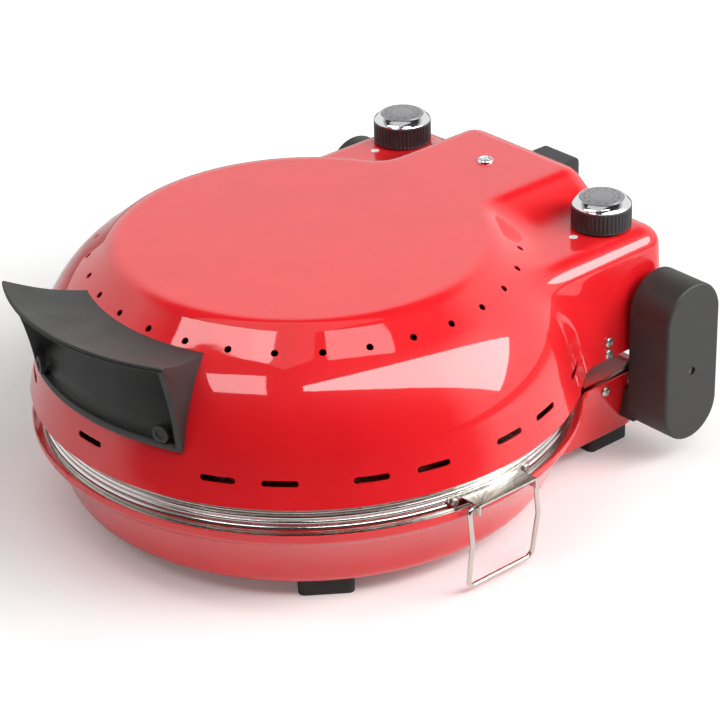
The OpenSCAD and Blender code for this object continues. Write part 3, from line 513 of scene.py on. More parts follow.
BODY_R = 176.0
LID_EDGE = 18.0
LID_TOP = 112.5
SHOULDER = 94.4
FLOOR = -49.0
SHEET = 1.2
SLOT_Z = 33.8
VENT_Z = 100.2
SKIRT = np.array([math.cos(math.radians(12.1)), math.sin(math.radians(12.1))])
CONE = np.array([math.sin(math.radians(38.7)), math.cos(math.radians(38.7))])
FLANK = np.array([0.671, 0.741])
CONE_TOP_R = 119.4


def rounded_meet(da, db, na, nb, radius):
    """Distance to a convex corner of two walls rounded by a radius: round its centre beyond both walls' ends,
    and otherwise the larger of the distances to the walls. na and nb are the walls' outward directions."""
    ta, tb = np.array([-na[1], na[0]]), np.array([-nb[1], nb[0]])
    ta, tb = ta * np.sign(ta @ nb), tb * np.sign(tb @ na)
    u = np.stack([da + radius, db + radius], -1) @ np.linalg.inv(np.stack([na, nb])).T
    corner = (u @ ta > 0) & (u @ tb > 0)
    return np.where(corner, np.hypot(u[..., 0], u[..., 1]) - radius, np.maximum(da, db))


def square_meet(da, db, radius):
    """The same for two walls that stand square to each other."""
    a, b = da + radius, db + radius
    return np.where((a > 0) & (b > 0), np.hypot(a, b) - radius, np.maximum(da, db))


def filleted(da, db, radius):
    """The union of two shapes with a hollow curve where they join: the smaller distance, less a soft hump
    where the two are close."""
    near = np.maximum(radius - np.abs(da - db), 0) / radius
    return np.minimum(da, db) - near ** 3 * radius / 6


def soft_meet(da, db, width):
    """The larger of two distances, eased by a parabola where they are within a width of each other."""
    near = np.maximum(width - np.abs(da - db), 0)
    return np.maximum(da, db) + near ** 2 / (4 * width)


def lid_shape(p):
    """Distance to the lid's outer face. The housing's side walls, shoulders and raised middle run back to the
    rear wall, join the dome in a hollow curve, and the level top cuts off all of them."""
    x, y, z = np.abs(p[..., 0]), p[..., 1], p[..., 2]
    q = np.stack([np.hypot(x, y), z], -1)
    dome = rounded_meet((q - [BODY_R, LID_EDGE]) @ SKIRT, (q - [CONE_TOP_R, LID_TOP]) @ CONE, SKIRT, CONE, 90)
    side = (x - 124.6 + (z - LID_EDGE) * 0.0353) * 0.9994
    back = (y - 206 + (z - LID_EDGE) * 0.0393) * 0.9992
    flank = np.maximum((np.stack([x, z], -1) - [46, LID_TOP]) @ FLANK, side + 20)
    section = filleted(square_meet(side, z - SHOULDER, 14), flank, 18)
    housing = np.maximum(square_meet(section, back, 17), 60 - y)
    top = square_meet(back + 0.7, z - LID_TOP, 15)
    return soft_meet(filleted(housing, dome, 14), top, np.interp(z, [60, 96], [0.02, 3.6]))


PAN_BENDS = [(-46.6, -1.82, 1.2), (-41, -0.379, 1.6), (-36, 0.0875, 2), (-28, 0.1375, 3), (-20, 0.121, 3),
             (-7, 0.687, 0.35), (-5.5, -1.333, 0.25)]


def pan_radius(z):
    """Radius of the pan's wall at a height: a slope that changes softly by a step at each bend."""
    def run(level):
        total = 2.5 * level
        for at, step, width in PAN_BENDS:
            total = total + step * width * np.logaddexp(0, (level - at) / width)
        return total
    return BODY_R + run(z) - run(np.zeros(1))


def base_shape(p):
    """Distance to the base's outer face: a flared pan and the box behind it."""
    x, y, z = np.abs(p[..., 0]), p[..., 1], p[..., 2]
    pan = (np.hypot(x, y) - pan_radius(z)) * 0.85
    pan = square_meet(pan, FLOOR - z, 2.5)
    side = (x - 123.4 - z * 0.2163) * 0.977
    box = np.maximum(square_meet(square_meet(side, y - 185, 7), FLOOR - z, 4), 60 - y)
    return filleted(pan, box, 5)


def slope_of(shape, p, step=0.02):
    """Outward direction of a shape at points: its change along each axis, made one long."""
    g = np.stack([shape(p + step * e) - shape(p - step * e) for e in np.eye(3)], -1)
    return g / np.maximum(np.linalg.norm(g, axis=-1, keepdims=True), 1e-9)


def cast(shape, azimuth, rise, origin_z):
    """Where rays from a point on the axis leave a shape. Azimuth is measured from the front (-Y) towards +X,
    rise is the ray's height per unit of length, and each ray is halved between inside and outside."""
    level = np.sqrt(np.maximum(1 - rise ** 2, 0))
    way = np.stack([level * np.sin(azimuth), -level * np.cos(azimuth), rise], -1)
    start = np.array([0, 0, origin_z])
    low, high = np.zeros(azimuth.shape), np.full(azimuth.shape, 300.0)
    for _ in range(42):
        mid = (low + high) / 2
        out = shape(start + way * mid[..., None]) > 0
        low, high = np.where(out, low, mid), np.where(out, mid, high)
    return start + way * high[..., None]


def even_steps(points, count, least=0.0):
    """Places from 0 to 1 along rows of points so that no row's steps are long: the longest step over all
    rows sets how fast a place moves."""
    steps = np.linalg.norm(np.diff(points, axis=-2), axis=-1).reshape(-1, points.shape[-2] - 1).max(0)
    run = np.concatenate([[0], np.cumsum(np.maximum(steps, least))])
    return np.interp(np.linspace(0, run[-1], count), run, np.linspace(0, 1, len(run)))


class Shell:
    """A sheet whose outer face lies on a shape, on a grid of azimuth and rise, with holes and an inner face."""

    def __init__(self, shape, origin_z, azimuths, rises):
        self.shape, self.origin_z = shape, origin_z
        self.azimuths, self.rises = azimuths, rises
        a, s = np.meshgrid(azimuths, rises)
        self.keys = np.stack([a, s], -1).reshape(-1, 2)
        self.quads = grid_quads(len(rises), len(azimuths), False, True)
        self.keep = np.ones(len(self.quads), bool)
        self.extra, self.threes, self.sunk, self.ring_quads = [], [], [], []
        self.count = len(self.keys)

    def hole(self, outline, azimuth, rise_at, along, up, margin=2.2, lip=0.45):
        """Cuts a hole whose outline is given in millimetres along the sheet and up it. A window of the grid
        is taken out, and rings run from its edge to the hole: two points on a ring for one on the window."""
        columns, rows = len(self.azimuths), len(self.rises)
        wide, tall = np.abs(outline).max(0) + margin
        j = np.searchsorted(self.azimuths, [azimuth - wide / along, azimuth + wide / along])
        j0, j1 = j[0] - 1, j[1]
        rise_low, rise_high = rise_at(-tall), rise_at(tall)
        i0 = max(np.searchsorted(self.rises, min(rise_low, rise_high)) - 1, 1)
        i1 = min(np.searchsorted(self.rises, max(rise_low, rise_high)), rows - 2)
        jj = np.arange(j0, j1 + 1)
        ii = np.arange(i0, i1 + 1)
        ring = np.concatenate([
            np.stack([np.full(len(jj), i0), jj], -1), np.stack([ii[1:], np.full(len(ii) - 1, j1)], -1),
            np.stack([np.full(len(jj) - 1, i1), jj[-2::-1]], -1), np.stack([ii[-2:0:-1], np.full(len(ii) - 2, j0)], -1)])
        cells = ((np.arange(i0, i1) * columns)[:, None] + (np.arange(j0, j1) % columns)[None]).reshape(-1)
        self.keep[cells] = False
        edge = ring[:, 0] * columns + ring[:, 1] % columns
        keys = self.keys[edge].copy()
        keys[:, 0] = azimuth + (keys[:, 0] - azimuth + math.pi) % TAU - math.pi
        flat = np.stack([(keys[:, 0] - azimuth) * along, up(keys[:, 1])], -1)
        n = len(edge)
        doubled = np.stack([flat, (flat + np.roll(flat, -1, 0)) / 2], 1).reshape(-1, 2)
        steps = np.linalg.norm(np.roll(doubled, -1, 0) - doubled, axis=1)
        place_on = np.concatenate([[0], np.cumsum(steps)[:-1]]) / steps.sum()
        closed = np.concatenate([outline, outline[:1]])
        run = np.concatenate([[0], np.cumsum(np.linalg.norm(np.diff(closed, axis=0), axis=1))])
        # the outline is walked from its own lower left corner, as the window is
        target = np.stack([np.interp(place_on * run[-1], run, closed[:, k]) for k in (0, 1)], -1)
        out = np.roll(target, -1, 0) - np.roll(target, 1, 0)
        out = np.stack([out[:, 1], -out[:, 0]], -1)
        out /= np.linalg.norm(out, axis=1, keepdims=True)
        out *= np.sign((out * target).sum())
        rings = [(doubled + (target + out * 1.1 - doubled) * t, 0.0) for t in (0.5, 1.0)]
        rings += [(target + out * lip, 0.0), (target + out * lip * 0.35, 0.1), (target, lip * 0.6)]
        first = self.count
        m = 2 * n
        for points, sink in rings:
            key = np.stack([azimuth + points[:, 0] / along, self.rise_from(points[:, 1], rise_at)], -1)
            self.extra.append(key)
            self.sunk.append(np.full(m, sink))
        k = np.arange(n)
        a, b = edge, np.roll(edge, -1)
        r0, r1, r2 = first + 2 * k, first + 2 * k + 1, first + (2 * k + 2) % m
        self.threes += [np.stack([a, r1, r0], -1), np.stack([a, b, r1], -1), np.stack([b, r2, r1], -1)]
        self.ring_quads.append(grid_quads(len(rings), m, False, True, first))
        self.count += m * len(rings)

    @staticmethod
    def rise_from(heights, rise_at):
        """The rays' rises at distances up the sheet."""
        return np.array(rise_at(heights))

    def build(self, top):
        """Points, quads and triangles of the whole sheet. The last row closes on the axis. The inner face is the
        outer one moved in by the sheet's thickness, and the two join along every open edge."""
        keys = np.concatenate([self.keys, *self.extra])
        outer = cast(self.shape, keys[:, 0], keys[:, 1], self.origin_z)
        normal = slope_of(self.shape, outer)
        sink = np.concatenate([np.zeros(len(self.keys)), *self.sunk])
        outer = outer - normal * sink[:, None]
        pole = np.array([[0, 0, top]])
        upward = np.array([[0, 0, math.copysign(1, top)]])
        outer, normal = np.concatenate([outer, pole]), np.concatenate([normal, upward])
        columns = len(self.azimuths)
        last = (len(self.rises) - 1) * columns + np.arange(columns)
        fan = np.stack([last, np.roll(last, -1), np.full(columns, len(outer) - 1)], -1)
        quads = np.concatenate([self.quads[self.keep], *self.ring_quads])
        threes = np.concatenate([fan, *self.threes])
        inner = outer - normal * (SHEET - np.append(sink, 0))[:, None]
        return outer, inner, normal, quads, threes


def open_edges(quads, threes):
    """Directed edges that only one face uses."""
    edges = np.concatenate([np.stack([f, np.roll(f, -1, 1)], -1).reshape(-1, 2) for f in (quads, threes)])
    size = edges.max() + 1
    forward, back = edges[:, 0] * size + edges[:, 1], edges[:, 1] * size + edges[:, 0]
    return edges[~np.isin(forward, back)]


def shell_object(name, built, body, slot, nodes, others=()):
    """An object from a built sheet, with the shape's own directions as the normals of its two faces."""
    outer, inner, normal, quads, threes = built
    n = len(outer)
    tri = np.cross(outer[quads[:, 1]] - outer[quads[:, 0]], outer[quads[:, 2]] - outer[quads[:, 0]])
    if (tri * normal[quads[:, 0]]).sum() < 0:
        quads, threes = quads[:, ::-1], threes[:, ::-1]
    edge = open_edges(quads, threes)
    wall = np.stack([edge[:, 1], edge[:, 0], edge[:, 0] + n, edge[:, 1] + n], -1)
    points = [np.concatenate([outer, inner])]
    faces = [*quads.tolist(), *threes.tolist(), *(quads[:, ::-1] + n).tolist(), *(threes[:, ::-1] + n).tolist(),
             *wall.tolist()]
    loops = [normal[quads].reshape(-1, 3), normal[threes].reshape(-1, 3), -normal[quads[:, ::-1]].reshape(-1, 3),
             -normal[threes[:, ::-1]].reshape(-1, 3), np.zeros((wall.size, 3))]
    count = 2 * n
    for p, q in others:
        q = q if volume_of(p, q) > 0 else q[:, ::-1]
        p, q4, q3 = welded(p, q)
        points.append(p)
        faces += (q4 + count).tolist() + (q3 + count).tolist()
        loops.append(np.zeros((q4.size + q3.size, 3)))
        count += len(p)
    obj = object_of(name, place(np.concatenate(points)), faces)
    obj.data.normals_split_custom_set(np.concatenate(loops).tolist())
    return finish_piece(obj, body, slot, nodes)


def azimuth_places(shape, heights, count, turn):
    """Azimuths from a start all the way round, closer where the shape's outline bends or reaches far out."""
    fine = np.linspace(0, TAU, 1441)
    rows = []
    for origin, rise in heights:
        rows.append(cast(shape, fine + turn, np.full(fine.shape, rise), origin))
    return turn + TAU * even_steps(np.stack(rows), count + 1, 1.0)[:-1]


def rise_places(shape, origin, azimuths, low, high, count):
    """Rises of the rows from the shell's edge towards the axis."""
    angles = np.linspace(low, high, 1500)
    rows = [cast(shape, np.full(angles.shape, a), np.sin(angles), origin) for a in azimuths]
    rows = np.stack(rows)
    rows[..., :2] *= np.where(np.hypot(rows[..., :1], rows[..., 1:2]) < 105, 0.15, 1)
    t = even_steps(rows, count)
    return np.sin(low + (high - low) * t)


def round_slot(length, width, points=40):
    """A slot's outline, from its lower left and round by the lower right."""
    half, r = (length - width) / 2, width / 2
    a = np.linspace(-math.pi / 2, math.pi / 2, points // 2)
    right = np.stack([half + r * np.cos(a), r * np.sin(a)], -1)
    outline = np.concatenate([right, -right])
    return np.roll(outline, points // 8, 0)


lid_azimuths = azimuth_places(lid_shape, [(LID_EDGE, 0.02), (LID_EDGE, 0.28)], 372, -math.pi)
rear = [math.pi, math.pi - 0.32, math.pi - 0.5, 0.0]
lid_rises = rise_places(lid_shape, LID_EDGE, rear, 0.0, math.radians(88), 96)
lid = Shell(lid_shape, LID_EDGE, lid_azimuths, lid_rises)

# heights up the dome's front, for holes cut on it
front_rises = np.sin(np.linspace(0, math.radians(60), 4000))
front = cast(lid_shape, np.zeros(4000), front_rises, LID_EDGE)
front_run = np.concatenate([[0], np.cumsum(np.linalg.norm(np.diff(front, axis=0), axis=1))])


def dome_hole(outline, degrees, height):
    """Cuts a hole in the dome at an angle from the front and a height."""
    at = np.interp(height, front[:, 2], front_run)
    radius = -np.interp(at, front_run, front[:, 1])
    azimuth = math.radians(degrees)
    azimuth = lid_azimuths[0] + (azimuth - lid_azimuths[0]) % TAU
    lid.hole(outline, azimuth, lambda up: np.interp(at + np.asarray(up), front_run, front_rises), radius,
             lambda rise: np.interp(rise, front_rises, front_run) - at)


SLOT_ANGLES = [31.5, 44, 62, 75, 94, 106.5, 125]
for degrees in [0, *SLOT_ANGLES, *[-a for a in SLOT_ANGLES]]:
    dome_hole(round_slot(22, 4), degrees, SLOT_Z)
for k in range(24):
    dome_hole(round_slot(4.5, 4.5, 32), (k - 11.5) * 12, VENT_Z)
lid_built = lid.build(LID_TOP)

shell_object("lid_shell_sheet", lid_built, "lid", "red_enamel", ["lid_shell"])

base_azimuths = azimuth_places(base_shape, [(0, -0.02), (0, -0.2)], 300, -math.pi)
base_rises = rise_places(base_shape, 0, [math.pi, math.pi - 0.45, 0.0], 0.0, math.radians(-88), 84)
base = Shell(base_shape, 0, base_azimuths, base_rises)
channel = lathe([(165, -4.3), (174.9, -4.3), (174.9, -5.5), (165, -5.5), (164.6, -4.9)], 200)
shell_object("base_shell_sheet", base.build(FLOOR), "base", "red_enamel", ["base_shell"], [channel])


# ---- Rings, reflectors, stone and heaters ----

def sheet_profile(path, thickness):
    """A path of (radius, height) and the same path a sheet's thickness to its left."""
    path = np.asarray(path, float)
    along = np.gradient(path, axis=0)
    along /= np.linalg.norm(along, axis=1, keepdims=True)
    left = np.stack([-along[:, 1], along[:, 0]], -1)
    return np.concatenate([path, (path + left * thickness)[::-1]])


def beaded(r, z, beads):
    """Heights up a wall of a radius, with rolled beads: each stands out as half a circle."""
    radius = np.full(z.shape, float(r))
    for middle, half in beads:
        radius += np.sqrt(np.maximum(half ** 2 - (z - middle) ** 2, 0))
    return np.stack([radius, z], -1)


ring_wall = beaded(167.2, np.linspace(-3.2, 9.2, 63), [(0.7, 1.3), (4.9, 0.9), (8.3, 0.9)])
ring_path = np.concatenate([soft_corners([(149, -7), (157.2, -7), (157.2, 8.8), (166.4, 8.8)], [1, 1]),
                            ring_wall[::-1]])
solid("stone_ring_band", [lathe(sheet_profile(ring_path, 1.0), 240)], "base", "bright_steel", ["stone_ring"])

rim_wall = beaded(167.4, np.linspace(10.6, 21.2, 54), [(11.7, 1.1), (15.2, 0.8)])
lid_path = np.concatenate([rim_wall[::-1], soft_corners([(166, 10.6), (164.6, 10.6), (163.5, 34), (147, 71),
                                                         (122, 84), (0, 84)], [1, 6, 8, 8])])
lid_path = np.concatenate([[(173.6, 21.4), (168.4, 21.4)], lid_path])
solid("lid_reflector_dish", [lathe(sheet_profile(lid_path, -0.9), 240)], "lid", "reflector_steel", ["lid_reflector"])
lower_path = soft_corners([(0, -40), (144, -40), (153, -34), (159.5, -4.4), (170.5, -4.4)], [6, 6, 4])
solid("lower_reflector_dish", [lathe(sheet_profile(lower_path, 0.9), 200)], "base", "reflector_steel",
      ["lower_reflector"])

stone_profile = soft_corners([(0, -5.5), (155, -5.5), (155, 4.5), (0, 4.5)], [1.6, 1.6])
solid("baking_stone", [lathe(stone_profile, 200)], "stone", "stone", ["pizza_stone"])


def heater(z):
    """A ring with two legs that turn back from it, and a thin terminal on each leg's end."""
    gap = math.asin(17 / 100)
    a = np.linspace(gap, TAU - gap, 150)
    ring = np.stack([100 * np.sin(a), 100 * np.cos(a)], -1)
    legs = [(9, 178), (9, 112)]
    path = np.concatenate([legs, ring, [(-9, 112), (-9, 178)]])
    path = np.concatenate([np.linspace(path[0], path[1], 20), soft_corners(path[1:5], [9, 4])[1:-1], path[5:-5],
                           soft_corners(path[-5:-1], [4, 9])[1:-1], np.linspace(path[-2], path[-1], 20)])
    path = np.concatenate([path, np.full((len(path), 1), z)], 1)
    path[:, 1] = np.minimum(path[:, 1], 167)
    keep = np.concatenate([[True], np.linalg.norm(np.diff(path, axis=0), axis=1) > 0.05])
    pins = [tube([(x, y, z) for y in np.linspace(164, 178.4, 6)], 1.5, 12, (0, 0, 1)) for x in (-9, 9)]
    return [tube(path[keep], 3.25, 14, (0, 0, 1)), *pins]


solid("lower_heater", heater(-24), "base", "heater_tube", ["lower_element"])
solid("upper_heater", heater(66), "lid", "heater_tube", ["upper_element"])


# ---- Handle ----

HANDLE_HALF = math.radians(24.3)
HANDLE_LOW = 47.3


def handle_section(angle, hollow):
    """The handle's outline as (radius, height) at an angle from the front. The back lies on the dome and the top
    rises to the lip. Below the lip the outline runs back into the hollow, or down the front edge of a side wall:
    hollow blends the two. The lip's reach is where a circle of 155 about a point behind the front cuts the angle."""
    reach = 39.8 * math.cos(angle) + math.sqrt(155 ** 2 - (39.8 * math.sin(angle)) ** 2)
    back_z = np.linspace(HANDLE_LOW, 97.3, 26)
    back = np.stack([-np.interp(back_z, front[:, 2], front[:, 1]) + 0.12, back_z], -1)
    t = np.linspace(0, 1, 22)[1:]
    start = back[-1]
    top = start + (np.array([reach - 0.9, 112.4]) - start) * t[:, None]
    top[:, 1] -= 2.2 * np.sin(math.pi * t) ** 1.0
    lip = np.array([(reach - 0.2, 112.0), (reach, 111.3), (reach - 0.1, 110.9), (reach - 0.7, 110.7),
                    (reach - 0.7, 110.3), (reach - 0.1, 110.1), (reach - 0.2, 109.4), (reach - 1.2, 109.0)])
    under = soft_corners([lip[-1], (156, 98.2), (160.5, 78), (167.2, 62), (168.8, 53.6)], [9, 14, 10], 7)
    rim = np.array([(170.2, 52.6), (172.4, 52.2), (173.1, 51.2), (173.2, 49.2), (172.7, 47.9), (171.6, HANDLE_LOW)])
    inner = np.concatenate([under[1:], rim])
    s = np.linspace(0, 1, len(inner))
    line = lip[-1] + (rim[3] - lip[-1]) * np.clip(s * 1.12, 0, 1)[:, None]
    line[:, 0] -= 2.2 * np.sin(math.pi * np.clip(s * 1.12, 0, 1))
    line[-4:] = rim[-4:]
    return np.concatenate([back, top, lip, line + (inner - line) * hollow])


def handle_grid():
    """The sections side by side from one end to the other, drawn in a little at both ends."""
    wall = math.radians(1.05)
    steps = [(0, 0), (0.15, 0), (0.5, 0), (0.85, 0), (1, 0), (1.02, 0.05), (1.06, 0.7), (1.15, 0.94), (1.35, 1)]
    left = [(-HANDLE_HALF + wall * at, hollow) for at, hollow in steps]
    inside = HANDLE_HALF - wall * 1.9
    middle = [(a, 1) for a in np.linspace(-inside, inside, 56)]
    places = left + middle + [(-a, h) for a, h in reversed(left)]
    rows = []
    for k, (angle, hollow) in enumerate(places):
        section = handle_section(angle, hollow)
        tuck = [0.55, 0.15][min(k, len(places) - 1 - k)] if min(k, len(places) - 1 - k) < 2 else 0
        section[26:, 0] -= tuck
        section[26:48, 1] -= tuck * 0.6
        rows.append(np.stack([section[:, 0] * math.sin(angle), -section[:, 0] * math.cos(angle), section[:, 1]], -1))
    ends = [np.broadcast_to(rows[k].mean(0), rows[k].shape) for k in (0, -1)]
    rows = np.stack([ends[0], *rows, ends[1]])
    return rows.reshape(-1, 3), grid_quads(len(rows), rows.shape[1], False, True)


def boss(degrees):
    """A low round seat for a handle screw on the floor of the hollow: a stepped profile turned about its axis."""
    profile = [(0, 4.6), (2.6, 4.6), (2.9, 5.4), (5.2, 5.4), (5.6, 5.0), (5.6, 2), (0, 2)]
    part = lathe(profile, 40)
    return moved(moved(part, TO_FRONT, (0, -169.4, 58)), turn_z(degrees))


solid("handle_grip_body", [handle_grid(), boss(20), boss(-20)], "lid", "black_matte", ["handle"], 32)


# ---- Ear covers ----

EAR_OUT = 162.3
EAR_IN = 129.0


def stadium(inset, x, points=96):
    """A ring of two half circles joined by upright sides, moved in by an inset, at a place across the oven."""
    t = np.linspace(0, TAU, points, endpoint=False)
    r = 24 - inset
    lift = np.clip(np.sin(t) * 60, -1, 1) * 31.25
    return np.stack([np.full(points, x), 184.5 + r * np.cos(t), 15.9 + r * np.sin(t) + lift], -1)


def circle_ring(r, x, points=96):
    """A ring about the hinge axis, whose points face the stadium's."""
    away = stadium(2, x, points) - [x, 184.5, 9.3]
    t = np.arctan2(away[:, 2], away[:, 1])
    return np.stack([np.full(points, x), 184.5 + r * np.cos(t), 9.3 + r * np.sin(t)], -1)


def ear_cover():
    """A deep cap: rings from its open rim out over a rounded edge to the face and into the screw's hole, then
    back along the inside and round a hollow post on the hinge axis."""
    a = np.linspace(0, math.pi / 2, 7)
    outside = [stadium(0.5, EAR_IN), stadium(0.1, EAR_IN + 0.2), stadium(0, EAR_IN + 0.8)]
    outside += [stadium(0, x) for x in np.linspace(EAR_IN + 2, EAR_OUT - 2.4, 8)]
    outside += [stadium(2 * (1 - math.cos(t)), EAR_OUT - 2 + 2 * math.sin(t)) for t in a]
    outside += [stadium(2.6, EAR_OUT)]
    hole = [circle_ring(4, EAR_OUT), circle_ring(3.2, EAR_OUT), circle_ring(2.95, EAR_OUT - 0.2),
            circle_ring(2.9, EAR_OUT - 0.6), circle_ring(2.9, EAR_OUT - 4.2), circle_ring(0, EAR_OUT - 4.2)]
    inside = [circle_ring(0, EAR_OUT - 6.4), circle_ring(3.56, EAR_OUT - 6.4), circle_ring(3.56, EAR_OUT - 22),
              circle_ring(6.3, EAR_OUT - 22), circle_ring(6.5, EAR_OUT - 21.5), circle_ring(6.5, EAR_OUT - 2.6)]
    inside += [stadium(4.6, EAR_OUT - 2.6), stadium(3.2, EAR_OUT - 3.2), stadium(2.6, EAR_OUT - 4.6),
               stadium(2.6, EAR_IN + 0.8), stadium(2.1, EAR_IN)]
    rings = np.stack(outside + hole)
    cap = np.stack(inside)
    return np.concatenate([rings, cap]).reshape(-1, 3), rings, cap


def ear_parts(mirror):
    """The cover, its post and the foot that stands off the base's wall."""
    points, rings, cap = ear_cover()
    quads = grid_quads(len(rings), 96, False, True)
    back = grid_quads(len(cap), 96, False, True, rings.size // 3)
    last = rings.size // 3 + (len(cap) - 1) * 96
    join = np.stack([last + np.arange(96), last + (np.arange(96) + 1) % 96, (np.arange(96) + 1) % 96, np.arange(96)], -1)
    shell = (points, np.concatenate([quads, back, join]))
    pad = prism([(121.2, -11.3), (137, -11.3), (137, -28), (129, -34), (116.3, -34)], 166, 182, "y", 0.8)
    web = prism([(162, -26), (162, -14), (207, -14), (207, -26)], EAR_IN, EAR_IN + 8, "x", 0.8)
    return [moved(part, mirror=mirror) for part in (shell, pad, web)]


solid("ear_cover_cap_right", ear_parts(False), "base", "black_matte", ["ear_cover_right"])
solid("ear_cover_cap_left", ear_parts(True), "base", "black_matte", ["ear_cover_left"])


# ---- Bails, screws and feet ----

BAIL = [(178.2, 20, 1.2), (178.2, 27.5, 1.2), (181, 27.5, -22.15), (176.2, 26.7, -54.2)]
bail_path = soft_corners(BAIL + [(x, -y, z) for x, y, z in reversed(BAIL)], [3, 14, 5, 5, 14, 3], 8)
for side, mirror in (("right", False), ("left", True)):
    solid("bail_wire_" + side, [moved(tube(bail_path, 1.58, 18), mirror=mirror)], side + "_bail", "nickel_wire",
          ["bail_" + side])


def screw(head_r, head_h, shank_r, length, plate=0.0):
    """A domed head with a cross sunk in it, its underside, and a plain shank with a drawn-in end. The head's
    height falls with the square of the radius; the cross is two bars that stop short of the rim."""
    r = head_r * np.array([0, 0.06, 0.12, 0.18, 0.24, 0.3, 0.37, 0.44, 0.5, 0.56, 0.62, 0.7, 0.78, 0.86, 0.93, 0.98, 1.0])
    a = np.arange(72) * TAU / 72
    x, y = r[:, None] * np.cos(a), r[:, None] * np.sin(a)
    low, high = np.minimum(abs(x), abs(y)), np.maximum(abs(x), abs(y))
    top = head_h * (1 - 0.34 * (r / head_r) ** 2 - 0.3 * np.maximum(r / head_r - 0.8, 0) ** 2 / 0.04)[:, None]
    cross = np.clip((0.14 * head_r - low) / (0.05 * head_r), 0, 1) * np.clip((0.6 * head_r - high) / (0.08 * head_r), 0, 1)
    rings = [np.stack([x, y, top - cross * head_h * 0.5], -1)]
    for rr, z in ((head_r, plate * 0.5), (head_r * 0.985, plate), (shank_r, plate), (shank_r, -length + 0.3),
                  (shank_r - 0.3, -length), (0, -length)):
        rings.append(np.stack([rr * np.cos(a), rr * np.sin(a), np.full(72, z)], -1)[None])
    points = np.concatenate(rings)
    return points.reshape(-1, 3), grid_quads(len(points), 72, False, True)


def turned_screw(part, degrees, matrix, shift, mirror=False):
    """A screw turned about its own axis, laid along a direction and put in place."""
    return moved(moved(part, turn_z(degrees)), matrix, shift, mirror)


def both_sides(part, matrix, shift, degrees):
    return [turned_screw(part, degrees, matrix, shift), turned_screw(part, degrees + 31, matrix, shift, True)]


lid_screws, base_screws, bracket_parts, handle_parts = [], [], [], []
for k, y in enumerate((146.6, 170.0)):
    for j, z in enumerate((21.5, 30.0)):
        lid_screws += both_sides(screw(3.4, 1.8, 2, 4.0, 0.1), TO_X, (124.6, y, z), 17 * k + 50 * j)
    base_screws += both_sides(screw(3.4, 1.75, 2, 7, 0.1), TO_X, (122.77, y, -6.3), 23 + 40 * k)
    swing = turn_z((10.08, -10.08)[k])
    for mirror in (False, True):
        part = turned_screw(screw(3, 1.8, 1.5, 6.2, 0.0), 12 + 31 * k, TO_X, (169.9, 0, 2.8))
        bracket_parts.append(moved(part, swing, mirror=mirror))
    part = turned_screw(screw(3.2, 5.1, 2, 7.8, 3.3), 25 * k, TO_FRONT, (0, -168.42, 58))
    nut = prism([(3.5 * math.cos(a), 3.5 * math.sin(a)) for a in np.arange(6) * TAU / 6], -7.9, -5.05, "z", 0.4)
    handle_parts += [moved(part, turn_z((20, -20)[k])),
                     moved(moved(nut, TO_FRONT, (0, -168.42, 58)), turn_z((20, -20)[k]))]
solid("lid_screw_heads", lid_screws, "lid", "zinc_steel", ["lid_side_screws"], 28)
solid("base_screw_heads", base_screws, "base", "zinc_steel", ["base_side_screws"], 28)
solid("bracket_screw_heads", bracket_parts, "base", "zinc_steel", ["bracket_screws"], 28)
solid("handle_screw_heads", handle_parts, "lid", "zinc_steel", ["handle_screws"], 28)


# ---- Knobs and lamp ----

def knob_ribs(a, profile):
    """Upright ribs round the knob's side: the radius falls by a small part between them."""
    side = ((profile[:, 0] > 19.2) & (profile[:, 1] < 108.6) & (profile[:, 1] > 96.4))[:, None]
    return 1 - side * 0.026 * (0.5 - 0.5 * np.cos(45 * a)) ** 2


KNOB_SIDE = [(19.45, z) for z in (96.6, 97.2, 101, 105, 108.0, 108.4)]
KNOB_PROFILE = [(0, 95.25), (18.6, 95.25), (19.3, 95.6), (19.45, 96.2), *KNOB_SIDE, (19.45, 108.8), (19.4, 109.5),
                (19.0, 109.9), (13.15, 109.9), (13.15, 113.4), (0, 113.4)]
BEVEL_PROFILE = [(13.2, 109.95), (18.7, 109.95), (19.15, 110.2), (19.2, 110.7), (18.9, 111.2), (15.6, 114.1),
                 (15.0, 114.45), (14.5, 114.45), (14.25, 114.2), (14.2, 113.4), (13.2, 113.4)]
FACE_PROFILE = [(0, 113.45), (14.1, 113.45), (14.1, 114.55), (13.95, 114.8), (13.6, 114.87), (0, 114.87)]
for name, x in (("thermostat", -KNOB_X), ("timer", KNOB_X)):
    dial_body = name + "_dial"
    solid(name + "_knob_skirt", [lathe(KNOB_PROFILE, 360, (x, KNOB_Y), knob_ribs)], dial_body, "black_knob",
          [name + "_knob"])
    solid(name + "_knob_trim", [lathe(BEVEL_PROFILE, 128, (x, KNOB_Y))], dial_body, "chrome", [name + "_bevel"])
    solid(name + "_knob_face", [lathe(FACE_PROFILE, 96, (x, KNOB_Y))], dial_body, "dial_grey", [name + "_face"])

t = np.linspace(0, math.pi / 2, 9)
LENS = [(0, 112.6), (3.85, 112.6), *zip(3.85 * np.cos(t), 113.2 + 1.3 * np.sin(t))]
solid("lamp_cap", [lathe(LENS, 64, (0, 157.6))], "lid", "lamp_lens", ["pilot_lens"])
COLLAR = [(3.95, 112.6), (5.45, 112.6), (5.5, 112.9), (5.0, 114.0), (4.6, 114.35), (4.2, 114.35), (3.95, 114.0)]
solid("lamp_collar", [lathe(COLLAR, 64, (0, 157.6))], "lid", "chrome", ["pilot_bezel"])

